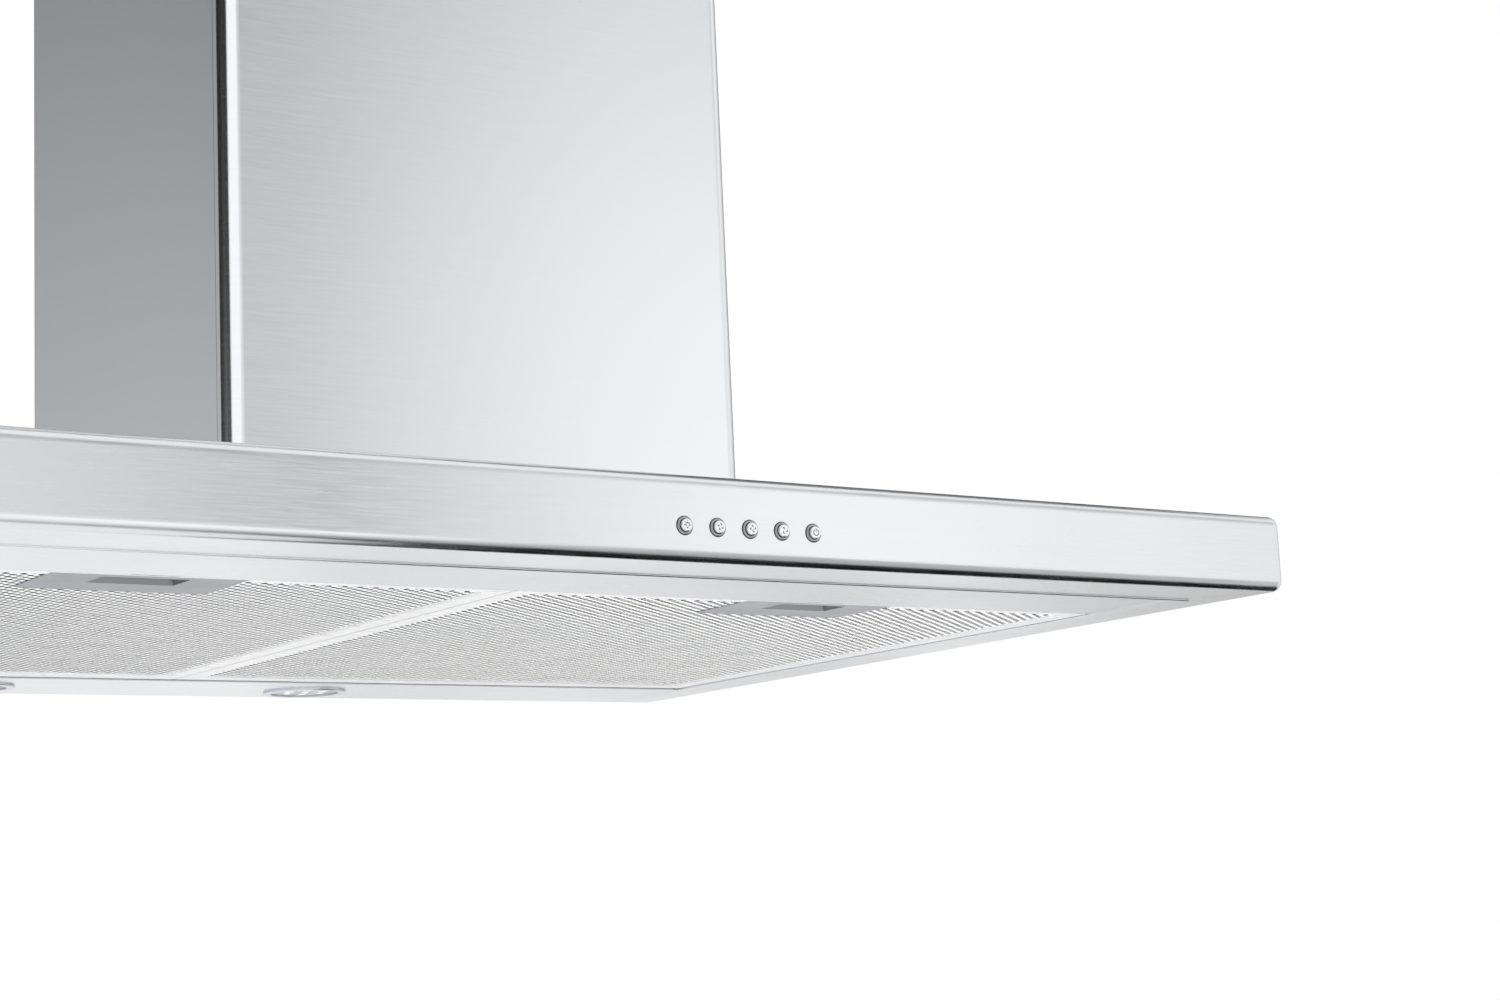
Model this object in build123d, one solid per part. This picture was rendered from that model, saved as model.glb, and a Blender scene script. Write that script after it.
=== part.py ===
from build123d import *
import math
import os

# Island range hood hung from the ceiling: a flat canopy under a two-stage chimney.
# Millimetres. X is to the right seen from the front, +Y to the back, +Z up.
# The origin is the centre of the ceiling plate's bolt pattern, on the ceiling.

# how far a cutting shape reaches past the solid that it cuts
past = 1.0

# canopy
canopy_width = 900.0
canopy_depth = 700.0
canopy_height = 45.0
canopy_bend = 6.5
sheet = 1.0
front_flange = 48.5
side_flange = 40.5
mitre_gap = 0.5
mitre_overrun = 2.0
rear_hem = 1.0
hang_drop = 830.0

# chimney covers
chimney_width = 318.0
chimney_depth = 288.0
chimney_setback = 142.0
chimney_bend = 9.0
cover_sheet = 1.0
cover_return = 13.5
cover_joint_gap = 0.4
lower_cover_height = 430.0
cover_overlap = 60.0
cover_slide_gap = 0.3
cover_lip = 10.0
cover_tab_height = 90.0
cover_screw_heights = (27.0, 72.0)
cover_foot_reach = 22.0
cover_foot_length = 40.0
cover_foot_sheet = 1.5
ceiling_gap = 1.0

# front rail and rear panel
rail_width = 81.0
rail_overlap = 8.0
panel_gap = 0.3
strip_width = 101.9
lip_height = 14.0
stop_ledge = 6.0
stop_gap = 0.25

# filters
filter_thickness = 9.0
filter_gap = 0.8
filter_front_gap = 0.5
filter_sheet = 1.0
filter_side_border = 12.0
filter_front_border = 8.0
filter_rear_border = 17.0
filter_window_corner = 10.0
filter_rear_gap = 3.6
mesh_sheet = 0.3
core_sheet = 0.3
core_pitch = 12.0
hinge_rise = 2.1
hinge_bead_r = 1.2
hinge_tab_width = 36.0
hinge_tab_reach = 5.0
hinge_tab_inset = 70.0
hinge_slot_half = 2.0
hinge_slot_side = 0.5

# filter latches
latch_width = 103.0
latch_depth = 56.0
latch_fit = 0.2
latch_strip = 2.0
latch_corner = 5.0
pull_width = 46.0
pull_depth = 22.0
pull_setback = 7.0
slide_width = 40.0
slide_thickness = 3.0
slide_length = 33.0
slide_rise = 4.5
slide_fit = 0.2
slide_travel = 6.0
pull_lip = 2.0
tongue_width = 24.0
tongue_reach = 1.5
notch_side = 0.6
notch_depth = 1.7
spring_r = 1.2
spring_wire_r = 0.25
spring_length = 10.0
spring_turns = 6
spring_bore_r = 1.8

# lamps
lamp_spread = 122.0
bezel_r = 29.5
bezel_proud = 1.8
lens_window_r = 24.0
lamp_collar_r = 27.5
lamp_collar_wall = 1.5
lamp_collar_height = 16.0
lamp_hole_fit = 0.2
lens_thickness = 2.5
lens_recess = 1.0
lamp_fit = 0.1
lamp_can_height = 18.0
lamp_can_wall = 1.0
lamp_hook_half = 4.0
led_board_thickness = 1.6
led_size = 3.0
led_height = 1.0
led_circle_r = 13.0
led_ring_count = 6

# push buttons
button_pitch = 20.0
button_offset = 63.5
button_height = 18.0
button_count = 5
button_r = 3.25
button_proud = 2.8
button_travel = 1.5
ring_r = 4.65
ring_proud = 0.9
ring_barrel_r = 4.0
ring_bore_gap = 0.3
ring_length = 6.0
button_flange_r = 3.7
button_flange = 1.0
stem_r = 1.5
stem_fit = 0.05
stem_length = 9.2
button_stop_gap = 0.8
housing_half_height = 11.0
housing_margin = 12.0
board_thickness = 1.6
tact_size = 6.0
tact_height = 3.5

# blower
box_half_x = 113.0
box_half_y = 103.0
box_height = 208.0
box_sheet = 0.8
inlet_margin = 5.0
box_tab = 12.0
scroll_half = 56.0
scroll_wall = 1.2
scroll_offset = -10.0
scroll_r_min = 76.0
scroll_r_max = 108.0
scroll_rise = 107.0
scroll_start = 60.0
scroll_steps = 10
lug_angles = (120, 200, 290)
lug_r = 4.8
lug_length = 6.0
lug_stand = 1.0
inlet_r = 54.0
wheel_r = 68.0
wheel_inner_r = 56.0
wheel_half = 50.0
blade_count = 30
blade_thickness = 1.2
blade_lean = 35.0
blade_inset = 1.0
wheel_disc = 3.0
wheel_ring = 2.5
hub_r = 12.0
hub_half = 9.0
shaft_r = 4.0
shaft_fit = 0.05
motor_r = 40.0
motor_start = 13.0
motor_end = 82.0
motor_round = 6.0
spider_sheet = 2.0
spider_fit = 0.1
spider_rim = 8.0
spider_arms = 3
spider_arm_width = 12.0

# outlet collar and dampers
outlet_offset = 22.0
outlet_r = 74.5
outlet_wall = 1.2
plenum_height = 24.0
plenum_margin = 1.5
spigot_height = 60.0
damper_rise = 26.0
damper_gap = 0.8
damper_thickness = 1.0
damper_pin_r = 1.5
damper_pin_fit = 0.05
damper_pin_recess = 0.2
knuckle_r = 2.6
knuckle_count = 8
knuckle_pitch = 15.0
knuckle_space = 0.5
damper_root = 3.3
damper_stop = 4.0
damper_stop_gap = 0.2

# electrics
control_length = 120.0
control_width = 60.0
control_height = 26.0
control_wall = 1.5
control_offset = -95.0
relay_size = 12.0
relay_height = 8.0
relay_count = 4
junction_length = 100.0
junction_width = 44.0
junction_height = 38.0
junction_wall = 1.5
gland_r = 8.0
gland_bore_r = 4.5
gland_length = 20.0
gland_nut_r = 11.0
gland_nut = 5.0
capacitor_r = 14.0
capacitor_height = 46.0
capacitor_round = 2.0

# hanging frame
post_leg = 25.0
post_sheet = 2.0
frame_gap_x = 17.0
frame_gap_y = 18.0
lower_post_height = 330.0
post_overlap = 100.0
post_bolt_rise = 30.0
brace_height = 25.0
foot_width = 14.0
plate_thickness = 3.0
plate_fit = 0.3
plate_margin = 1.5
plate_skirt = 18.0
ceiling_spacing_x = 220.0
ceiling_spacing_y = 180.0
ceiling_hole_r = 4.5
duct_hole_r = 80.0
cable_window_half_x = 30.0
cable_window_half_y = 14.0
cable_window_corner = 5.0

# fasteners
bolt_r = 2.5
bolt_head_r = 4.5
bolt_head = 3.0
bolt_fit = 0.2
screw_r = 2.0
screw_head_r = 3.6
screw_head = 1.8
screw_fit = 0.15
screw_length = 6.0

# places worked out from the sizes above
half_width = canopy_width / 2
front = -(chimney_depth / 2 + chimney_setback)
back = front + canopy_depth
under = -hang_drop
top = under + canopy_height
opening_half = half_width - side_flange
rail_front = front + front_flange
rail_back = rail_front + rail_width
filter_front = rail_back + filter_front_gap
strip_front = back - strip_width
hinge_y = strip_front + sheet / 2
filter_back = hinge_y - filter_rear_gap
filter_length = filter_back - filter_front
filter_base = under + sheet
filter_top = filter_base + filter_thickness
hinge_z = filter_base + hinge_rise
filter_width = opening_half - filter_gap / 2 - filter_gap
latch_front = filter_front + latch_strip
latch_back = latch_front + latch_depth
button_z = under + button_height
joint_y = -chimney_depth / 2 + cover_return
upper_inset = cover_sheet + cover_slide_gap
lower_cover_top = top + lower_cover_height
upper_cover_bottom = lower_cover_top - cover_overlap
box_top = top + box_height
scroll_z = top + scroll_rise
plenum_top = box_top + box_sheet + plenum_height
spigot_top = plenum_top + spigot_height
frame_half_x = chimney_width / 2 - frame_gap_x
frame_half_y = chimney_depth / 2 - frame_gap_y
plate_half_x = chimney_width / 2 - cover_sheet - cover_slide_gap - cover_sheet - plate_fit
plate_half_y = frame_half_y + plate_margin
damper_z = plenum_top + damper_rise
lower_post_top = top + lower_post_height
upper_post_bottom = lower_post_top - post_overlap
cable_y = -box_half_y + junction_width / 2
lamp_y = (strip_front + back) / 2
housing_depth = ring_length + ring_bore_gap + stem_length + button_travel + ring_bore_gap
rear_wall_top = top - canopy_bend - rear_hem - panel_gap


def block(x0, x1, y0, y1, z0, z1):
    box = Box(abs(x1 - x0), abs(y1 - y0), abs(z1 - z0))
    return Pos((x0 + x1) / 2, (y0 + y1) / 2, (z0 + z1) / 2) * box


def rod_x(radius, x0, x1, y, z):
    rod = Rot(0, 90, 0) * Cylinder(radius, abs(x1 - x0))
    return Pos((x0 + x1) / 2, y, z) * rod


def rod_y(radius, x, y0, y1, z):
    rod = Rot(90, 0, 0) * Cylinder(radius, abs(y1 - y0))
    return Pos(x, (y0 + y1) / 2, z) * rod


def rod_z(radius, x, y, z0, z1):
    return Pos(x, y, (z0 + z1) / 2) * Cylinder(radius, abs(z1 - z0))


def extrude_x(face, x0, x1):
    """A face drawn with (y, z) as its plane coordinates, stretched from x0 to x1."""
    return Pos(x0, 0, 0) * extrude(Plane.YZ * face, x1 - x0)


def round_edges(part, edges, radius):
    return fillet(part.edges().filter_by(edges), radius)


def mirror_x(part):
    return mirror(part, Plane.YZ)


def save(part, name):
    part.label = name
    export_step(part, os.path.join("parts", name + ".step"))


# ---- canopy ------------------------------------------------------------


def button_places():
    first = button_offset - button_pitch * (button_count - 1) / 2
    return [first + button_pitch * i for i in range(button_count)]


def back_screw_places():
    rise = (canopy_height - canopy_bend) / 2
    return [(s * (opening_half + rail_overlap / 2), under + rise) for s in (-1, 1)]


def foot_places():
    x = frame_half_x - foot_width / 2
    y = frame_half_y - post_leg - foot_width / 2
    return [(sx * x, sy * y) for sx in (-1, 1) for sy in (-1, 1)]


def cover_foot_places():
    x = chimney_width / 2 - cover_sheet
    return [(sx * x, sx, 0) for sx in (-1, 1)]


def mitre_cut(side):
    """The joint line between the front and side flanges, from the opening's corner outwards."""
    run_x = side_flange - canopy_bend
    run_y = front_flange - canopy_bend
    angle = math.degrees(math.atan2(-run_y, side * run_x))
    slot = Rot(0, 0, angle) * Box(math.hypot(run_x, run_y), mitre_gap, 4 * sheet)
    shift = mitre_overrun / math.sqrt(2)
    mid_x = side * (half_width - (side_flange + canopy_bend) / 2 - shift)
    return Pos(mid_x, front + (front_flange + canopy_bend) / 2 + shift, under) * slot


def canopy_shell():
    outer = block(-half_width, half_width, front, back, under, top)
    outer = fillet(outer.edges(), canopy_bend)
    hollow = block(
        -half_width + sheet, half_width - sheet, front + sheet, back - sheet, under + sheet, top - sheet
    )
    hollow = fillet(hollow.edges(), canopy_bend - sheet)
    shell = outer - hollow
    opening_top = rear_wall_top + panel_gap
    shell -= block(-opening_half, opening_half, rail_front, back + sheet, under - sheet, opening_top)
    inlet_x = box_half_x - inlet_margin
    inlet_y = box_half_y - inlet_margin
    shell -= block(-inlet_x, inlet_x, -inlet_y, inlet_y, top - 2 * sheet, top + sheet)
    for side in (-1, 1):
        shell -= mitre_cut(side)
    for x in button_places():
        shell -= rod_y(ring_barrel_r + screw_fit, x, front - sheet, front + 2 * sheet, button_z)
    for x, z in back_screw_places():
        shell -= rod_y(screw_r + screw_fit, x, back - 2 * sheet, back + sheet, z)
    for x, y in foot_places():
        shell -= rod_z(bolt_r + bolt_fit, x, y, top - 2 * sheet, top + sheet)
    for x, side, y in cover_foot_places():
        shell -= rod_z(screw_r + screw_fit, x - side * cover_foot_reach / 2, y, top - 2 * sheet, top + sheet)
    for x, y in box_screw_places():
        shell -= rod_z(screw_r + screw_fit, x, y, top - 2 * sheet, top + sheet)
    return shell


def front_rail():
    reach = opening_half + rail_overlap
    plate = block(-reach, reach, rail_front - rail_overlap, rail_back, filter_base, filter_base + sheet)
    ledge_z = filter_top + stop_gap
    lip = block(-opening_half, opening_half, rail_back - sheet, rail_back, filter_base, ledge_z + sheet)
    ledge = block(
        -opening_half, opening_half, rail_back - sheet, filter_front + stop_ledge, ledge_z, ledge_z + sheet
    )
    rail = plate + lip + ledge
    notch_half = tongue_width / 2 + notch_side
    notch_top = filter_base + slide_rise + slide_thickness + notch_side
    for side in (-1, 1):
        x = side * latch_centre()
        rail -= block(
            x - notch_half, x + notch_half, rail_back - notch_depth, rail_back + sheet, under, notch_top
        )
    return rail


def lamp_places():
    return {"left": -lamp_spread, "right": lamp_spread}


def hinge_places(side):
    x0 = side * filter_inner() + side * hinge_tab_inset
    x1 = side * filter_outer() - side * hinge_tab_inset
    return (x0, x1)


def rear_panel():
    reach = opening_half - panel_gap
    body = block(-reach, reach, strip_front, back, under, rear_wall_top)
    bend = body.edges().filter_by(Axis.X).sort_by(Axis.Y)[-2:].sort_by(Axis.Z)[0]
    body = fillet(bend, canopy_bend)
    hollow = block(
        -reach - sheet, reach + sheet, strip_front + sheet, back - sheet, under + sheet, top
    )
    bend = hollow.edges().filter_by(Axis.X).sort_by(Axis.Y)[-2:].sort_by(Axis.Z)[0]
    body -= fillet(bend, canopy_bend - sheet)
    body -= block(
        -reach - sheet, reach + sheet, strip_front - sheet, back - 2 * canopy_bend, under + lip_height, top
    )
    for side in (-1, 1):
        x0 = side * (opening_half - rail_overlap)
        x1 = side * (opening_half + rail_overlap)
        body += block(x0, x1, back - 2 * sheet, back - sheet, under + canopy_bend, rear_wall_top)
        body += block(
            x0, x1, strip_front + 2 * sheet, back - 2 * canopy_bend, under + sheet, under + 2 * sheet
        )
        for x in hinge_places(side):
            half = hinge_tab_width / 2 + hinge_slot_side
            body -= block(
                x - half, x + half, strip_front - sheet, strip_front + 2 * sheet,
                hinge_z - hinge_slot_half, hinge_z + hinge_slot_half,
            )
    for x in lamp_places().values():
        body -= rod_z(lamp_collar_r + lamp_hole_fit, x, lamp_y, under - sheet, under + 2 * sheet)
    for x, z in back_screw_places():
        body -= rod_y(screw_r + screw_fit, x, back - 4 * sheet, back + sheet, z)
    return body


# ---- filters -----------------------------------------------------------


def filter_inner():
    return filter_gap / 2


def filter_outer():
    return filter_inner() + filter_width


def latch_centre():
    return (filter_inner() + filter_outer()) / 2


def latch_room(start):
    """The space that a filter leaves for its latch, from y = start to just behind the latch."""
    half = latch_width / 2 + latch_fit
    x = latch_centre()
    room = block(x - half, x + half, start, latch_back + latch_fit, filter_base - past, filter_top + past)
    rear = room.edges().filter_by(Axis.Z).sort_by(Axis.Y)[-2:]
    return fillet(rear, latch_corner)


def slide_slot():
    """The height band, as (low, high), that the latch's slide runs in with its clearance."""
    low = filter_base + slide_rise - slide_fit
    return low, low + slide_thickness + 2 * slide_fit


def tongue_mouth():
    x = latch_centre()
    half = tongue_width / 2 + slide_fit
    low, high = slide_slot()
    return block(x - half, x + half, filter_front - past, latch_front + 2 * filter_sheet, low, high)


def filter_frame():
    x0 = filter_inner()
    x1 = filter_outer()
    wall = filter_sheet
    frame = block(x0, x1, filter_front, filter_back, filter_base, filter_top)
    frame = round_edges(frame, Axis.Z, 2 * wall)
    frame -= block(
        x0 + wall, x1 - wall, filter_front + wall, filter_back - wall, filter_base + wall, filter_top - wall
    )
    window = block(
        x0 + filter_side_border, x1 - filter_side_border,
        filter_front + filter_front_border, filter_back - filter_rear_border,
        filter_base - past, filter_top + past,
    )
    frame -= round_edges(window, Axis.Z, filter_window_corner)
    frame -= latch_room(latch_front - latch_fit) + tongue_mouth()
    for x in hinge_places(1):
        half = hinge_tab_width / 2
        end = hinge_y + hinge_tab_reach
        z0 = hinge_z - sheet / 2
        frame += block(x - half, x + half, filter_back - wall, end, z0, z0 + sheet)
        frame += rod_x(hinge_bead_r, x - half, x + half, hinge_y, hinge_z)
    return frame


def mesh_plate(z):
    wall = filter_sheet + latch_fit
    x0 = filter_inner() + wall
    x1 = filter_outer() - wall
    plate = block(x0, x1, filter_front + wall, filter_back - wall, z, z + mesh_sheet)
    return plate - latch_room(filter_front)


def filter_face_mesh():
    return mesh_plate(filter_base + filter_sheet)


def filter_back_mesh():
    return mesh_plate(filter_top - filter_sheet - mesh_sheet)


def filter_core():
    wall = filter_sheet + latch_fit
    x0 = filter_inner() + wall
    z0 = filter_base + filter_sheet + mesh_sheet
    z1 = filter_top - filter_sheet - mesh_sheet - core_sheet
    count = int((filter_width - 2 * wall) / core_pitch)
    lower = []
    for i in range(2 * count + 1):
        lower.append((x0 + i * core_pitch / 2, z1 if i % 2 else z0))
    upper = [(x, z + core_sheet) for x, z in reversed(lower)]
    outline = make_face(Polyline(*lower, *upper, close=True))
    length = filter_length - 2 * wall
    core = extrude(Plane.XZ * outline, length)
    core = Pos(0, filter_back - wall, 0) * core
    return core - latch_room(filter_front)


def latch_body():
    x = latch_centre()
    half = latch_width / 2
    body = block(x - half, x + half, latch_front, latch_back, filter_base, filter_top)
    body = fillet(body.edges().filter_by(Axis.Z).sort_by(Axis.Y)[-2:], latch_corner)
    pull = pull_width / 2
    pull_front = latch_front + pull_setback
    body -= block(
        x - pull, x + pull, pull_front, pull_front + pull_depth, filter_base - past, filter_base + slide_rise
    )
    run = slide_width / 2 + slide_fit
    low, high = slide_slot()
    slide_end = latch_front + slide_length + slide_travel + slide_fit
    body -= block(x - run, x + run, latch_front + filter_sheet, slide_end, low, high)
    bore_end = slide_end + spring_length + slide_fit
    body -= rod_y(spring_bore_r, x, slide_end - past, bore_end, (low + high) / 2)
    return body - tongue_mouth()


def latch_slide():
    x = latch_centre()
    half = slide_width / 2
    z0 = filter_base + slide_rise
    z1 = z0 + slide_thickness
    start = latch_front + filter_sheet + slide_fit
    slide = block(x - half, x + half, start, latch_front + slide_length, z0, z1)
    tongue = tongue_width / 2
    slide += block(x - tongue, x + tongue, filter_front - tongue_reach, start, z0, z1)
    lip_y = latch_front + pull_setback + slide_fit
    slide += block(x - half, x + half, lip_y, lip_y + pull_lip, filter_base + pull_lip, z0)
    return slide


def latch_spring():
    coil_length = spring_length - 2 * spring_wire_r
    path = Helix(coil_length / spring_turns, coil_length, spring_r)
    start = Plane(origin=path @ 0, z_dir=path % 0)
    coil = sweep(start * Circle(spring_wire_r), path=path, is_frenet=True)
    y = latch_front + slide_length + spring_length - spring_wire_r
    z = filter_base + slide_rise + slide_thickness / 2
    return Pos(latch_centre(), y, z) * Rot(90, 0, 0) * coil


# ---- lamps -------------------------------------------------------------


def lamp_bezel(x):
    face = under - bezel_proud
    collar_top = under + lamp_collar_height
    bezel = rod_z(bezel_r, x, lamp_y, face, under)
    rim = bezel.edges().filter_by(GeomType.CIRCLE).sort_by(Axis.Z)[0]
    bezel = fillet(rim, bezel_proud / 2)
    bezel += rod_z(lamp_collar_r, x, lamp_y, under, collar_top)
    bezel -= rod_z(lens_window_r, x, lamp_y, face - past, collar_top + past)
    seat = face + lens_recess
    bezel -= rod_z(lamp_collar_r - lamp_collar_wall, x, lamp_y, seat, collar_top + past)
    hook_z = under + sheet + lamp_fit
    hook_top = hook_z + lamp_collar_wall
    for side in (-1, 1):
        inner = x + side * (lamp_collar_r - lamp_collar_wall)
        outer = x + side * (lamp_collar_r + lamp_collar_wall)
        bezel += block(inner, outer, lamp_y - lamp_hook_half, lamp_y + lamp_hook_half, hook_z, hook_top)
    return bezel


def lens_top():
    return under - bezel_proud + lens_recess + lens_thickness


def lamp_lens(x):
    radius = lamp_collar_r - lamp_collar_wall - lamp_fit
    return rod_z(radius, x, lamp_y, lens_top() - lens_thickness, lens_top())


def lamp_housing(x):
    radius = lamp_collar_r - lamp_collar_wall - lamp_fit
    end = lens_top() + lamp_can_height
    can = rod_z(radius, x, lamp_y, lens_top(), end)
    can = fillet(can.edges().filter_by(GeomType.CIRCLE).sort_by(Axis.Z)[-1], 2 * lamp_can_wall)
    return can - rod_z(radius - lamp_can_wall, x, lamp_y, lens_top() - past, end - lamp_can_wall)


def lamp_led_board(x):
    end = lens_top() + lamp_can_height - lamp_can_wall
    start = end - led_board_thickness
    radius = lamp_collar_r - lamp_collar_wall - lamp_fit - lamp_can_wall - lamp_fit
    board = rod_z(radius, x, lamp_y, start, end)
    half = led_size / 2
    spots = [(0, 0)]
    for i in range(led_ring_count):
        angle = 2 * math.pi * i / led_ring_count
        spots.append((led_circle_r * math.cos(angle), led_circle_r * math.sin(angle)))
    for dx, dy in spots:
        cx = x + dx
        cy = lamp_y + dy
        board += block(cx - half, cx + half, cy - half, cy + half, start - led_height, start)
    return board


# ---- push buttons ------------------------------------------------------


def button_cap(x):
    face = front - button_proud
    barrel_end = front + ring_length + ring_bore_gap
    cap = rod_y(button_r, x, face, barrel_end, button_z)
    rim = cap.edges().filter_by(GeomType.CIRCLE).sort_by(Axis.Y)[0]
    cap = fillet(rim, button_r / 6)
    cap += rod_y(button_flange_r, x, barrel_end, barrel_end + button_flange, button_z)
    cap += rod_y(stem_r, x, barrel_end, barrel_end + stem_length, button_z)
    return cap


def button_rings():
    rings = []
    for x in button_places():
        ring = rod_y(ring_r, x, front - ring_proud, front, button_z)
        rim = ring.edges().filter_by(GeomType.CIRCLE).sort_by(Axis.Y)[0]
        ring = fillet(rim, ring_proud / 2)
        ring += rod_y(ring_barrel_r, x, front, front + ring_length, button_z)
        ring -= rod_y(button_r + ring_bore_gap, x, front - 2 * ring_proud, front + 2 * ring_length, button_z)
        rings.append(ring)
    return Compound(rings)


def guide_start():
    """Depth at which the housing narrows from the ring's barrel to the stem's guide."""
    return ring_length + ring_bore_gap + button_flange + button_travel + button_stop_gap


def switch_span():
    half = button_pitch * (button_count - 1) / 2 + housing_margin
    return button_offset - half, button_offset + half


def switch_housing():
    x0, x1 = switch_span()
    z0 = button_z - housing_half_height
    z1 = button_z + housing_half_height
    body = block(x0, x1, front + sheet, front + housing_depth, z0, z1)
    body = round_edges(body, Axis.Y, 2 * sheet)
    for x in button_places():
        body -= rod_y(ring_barrel_r + screw_fit, x, front, front + guide_start(), button_z)
        body -= rod_y(stem_r + stem_fit, x, front, front + 2 * housing_depth, button_z)
    return body


def switch_board():
    x0, x1 = switch_span()
    half = housing_half_height - sheet
    start = front + housing_depth
    board = block(x0 + sheet, x1 - sheet, start, start + board_thickness, button_z - half, button_z + half)
    size = tact_size / 2
    for x in button_places():
        y = start + board_thickness
        board += block(x - size, x + size, y, y + tact_height, button_z - size, button_z + size)
    return board


# ---- blower ------------------------------------------------------------


def volute(inset):
    """The spiral casing's outline with its outlet neck, drawn inset from the outer face."""
    low = scroll_r_min - inset
    growth = (scroll_r_max - scroll_r_min) / (360 - scroll_start)
    points = []
    for step in range(scroll_steps + 1):
        angle = scroll_start + (360 - scroll_start) * step / scroll_steps
        radius = low + growth * (angle - scroll_start)
        a = math.radians(angle)
        points.append((scroll_offset + radius * math.cos(a), scroll_z + radius * math.sin(a)))
    neck = scroll_offset + scroll_r_min * math.cos(math.radians(scroll_start)) + inset
    corners = [points[-1], (points[-1][0], box_top), (neck, box_top)]
    if inset:
        corners.append((neck, points[0][1] - 2 * inset))
    rest = Polyline(*corners, points[0])
    return make_face(Spline(*points) + rest)


def scroll_lugs(side):
    lugs = None
    for angle in lug_angles:
        growth = (scroll_r_max - scroll_r_min) * (angle - scroll_start) / (360 - scroll_start)
        radius = scroll_r_min + growth + lug_stand
        a = math.radians(angle)
        y = scroll_offset + radius * math.cos(a)
        z = scroll_z + radius * math.sin(a)
        lug = rod_x(lug_r, 0, side * lug_length, y, z)
        lugs = lug if lugs is None else lugs + lug
    return lugs


def scroll_half_shell(side):
    x1 = side * scroll_half
    lo = min(0, x1)
    hi = max(0, x1)
    shell = extrude_x(volute(0), lo, hi)
    shell += scroll_lugs(side)
    inner_lo = lo + scroll_wall if side < 0 else lo - past
    inner_hi = hi - scroll_wall if side > 0 else hi + past
    shell -= extrude_x(volute(scroll_wall), inner_lo, inner_hi)
    shell -= rod_x(inlet_r, lo - past, hi + past, scroll_offset, scroll_z)
    return shell


def impeller():
    disc = rod_x(wheel_r, -wheel_disc / 2, wheel_disc / 2, scroll_offset, scroll_z)
    ring = Circle(wheel_r) - Circle(wheel_inner_r)
    length = wheel_r - wheel_inner_r - 2 * blade_inset
    blade = Pos((wheel_r + wheel_inner_r) / 2, 0) * Rot(0, 0, blade_lean) * Rectangle(length, blade_thickness)
    blades = Sketch() + [Rot(0, 0, 360 * i / blade_count) * blade for i in range(blade_count)]
    place = Pos(0, scroll_offset, scroll_z)
    wheel = disc
    for lo, hi in ((-wheel_half, -wheel_disc / 2), (wheel_disc / 2, wheel_half)):
        wheel += place * extrude_x(blades, lo, hi)
    for lo in (-wheel_half, wheel_half - wheel_ring):
        wheel += place * extrude_x(ring, lo, lo + wheel_ring)
    wheel += rod_x(hub_r, -hub_half, hub_half, scroll_offset, scroll_z)
    wheel += rod_x(shaft_r, -hub_half, motor_end - motor_round, scroll_offset, scroll_z)
    return wheel


def motor():
    body = rod_x(motor_r, motor_start, motor_end, scroll_offset, scroll_z)
    body = fillet(body.edges().filter_by(GeomType.CIRCLE), motor_round)
    bore_end = motor_end - motor_round + past
    body -= rod_x(shaft_r + shaft_fit, motor_start - past, bore_end, scroll_offset, scroll_z)
    return body


def motor_bracket():
    x0 = scroll_half
    x1 = scroll_half + spider_sheet
    rim = rod_x(inlet_r + spider_rim, x0, x1, scroll_offset, scroll_z)
    rim -= rod_x(inlet_r, x0 - past, x1 + past, scroll_offset, scroll_z)
    hub = rod_x(motor_r + spider_sheet, x0, x1, scroll_offset, scroll_z)
    spider = rim + hub
    for i in range(spider_arms):
        arm = block(x0, x1, motor_r, inlet_r + spider_rim / 2, -spider_arm_width / 2, spider_arm_width / 2)
        spider += Pos(0, scroll_offset, scroll_z) * Rot(360 * i / spider_arms, 0, 0) * arm
    spider -= rod_x(motor_r + spider_fit, x0 - past, x1 + past, scroll_offset, scroll_z)
    return spider


def box_tab_places():
    return [(sx, sy * box_half_y / 2) for sx in (-1, 1) for sy in (-1, 1)]


def box_screw_places():
    return [(side * (box_half_x + box_tab / 2), y) for side, y in box_tab_places()]


def air_box():
    roof = box_top + box_sheet
    box = block(-box_half_x, box_half_x, -box_half_y, box_half_y, top, roof)
    inner_x = box_half_x - box_sheet
    inner_y = box_half_y - box_sheet
    box -= block(-inner_x, inner_x, -inner_y, inner_y, top - past, box_top)
    neck0 = scroll_offset + scroll_r_min * math.cos(math.radians(scroll_start)) + scroll_wall
    neck1 = scroll_offset + scroll_r_max - scroll_wall
    neck_x = scroll_half - scroll_wall
    box -= block(-neck_x, neck_x, neck0, neck1, box_top - past, roof + past)
    for side, y in box_tab_places():
        x0 = side * box_half_x
        x1 = side * (box_half_x + box_tab)
        box += block(x0, x1, y - box_tab, y + box_tab, top, top + 2 * box_sheet)
    for x, y in box_screw_places():
        box -= rod_z(screw_r + screw_fit, x, y, top - past, top + 3 * box_sheet)
    return box


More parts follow.
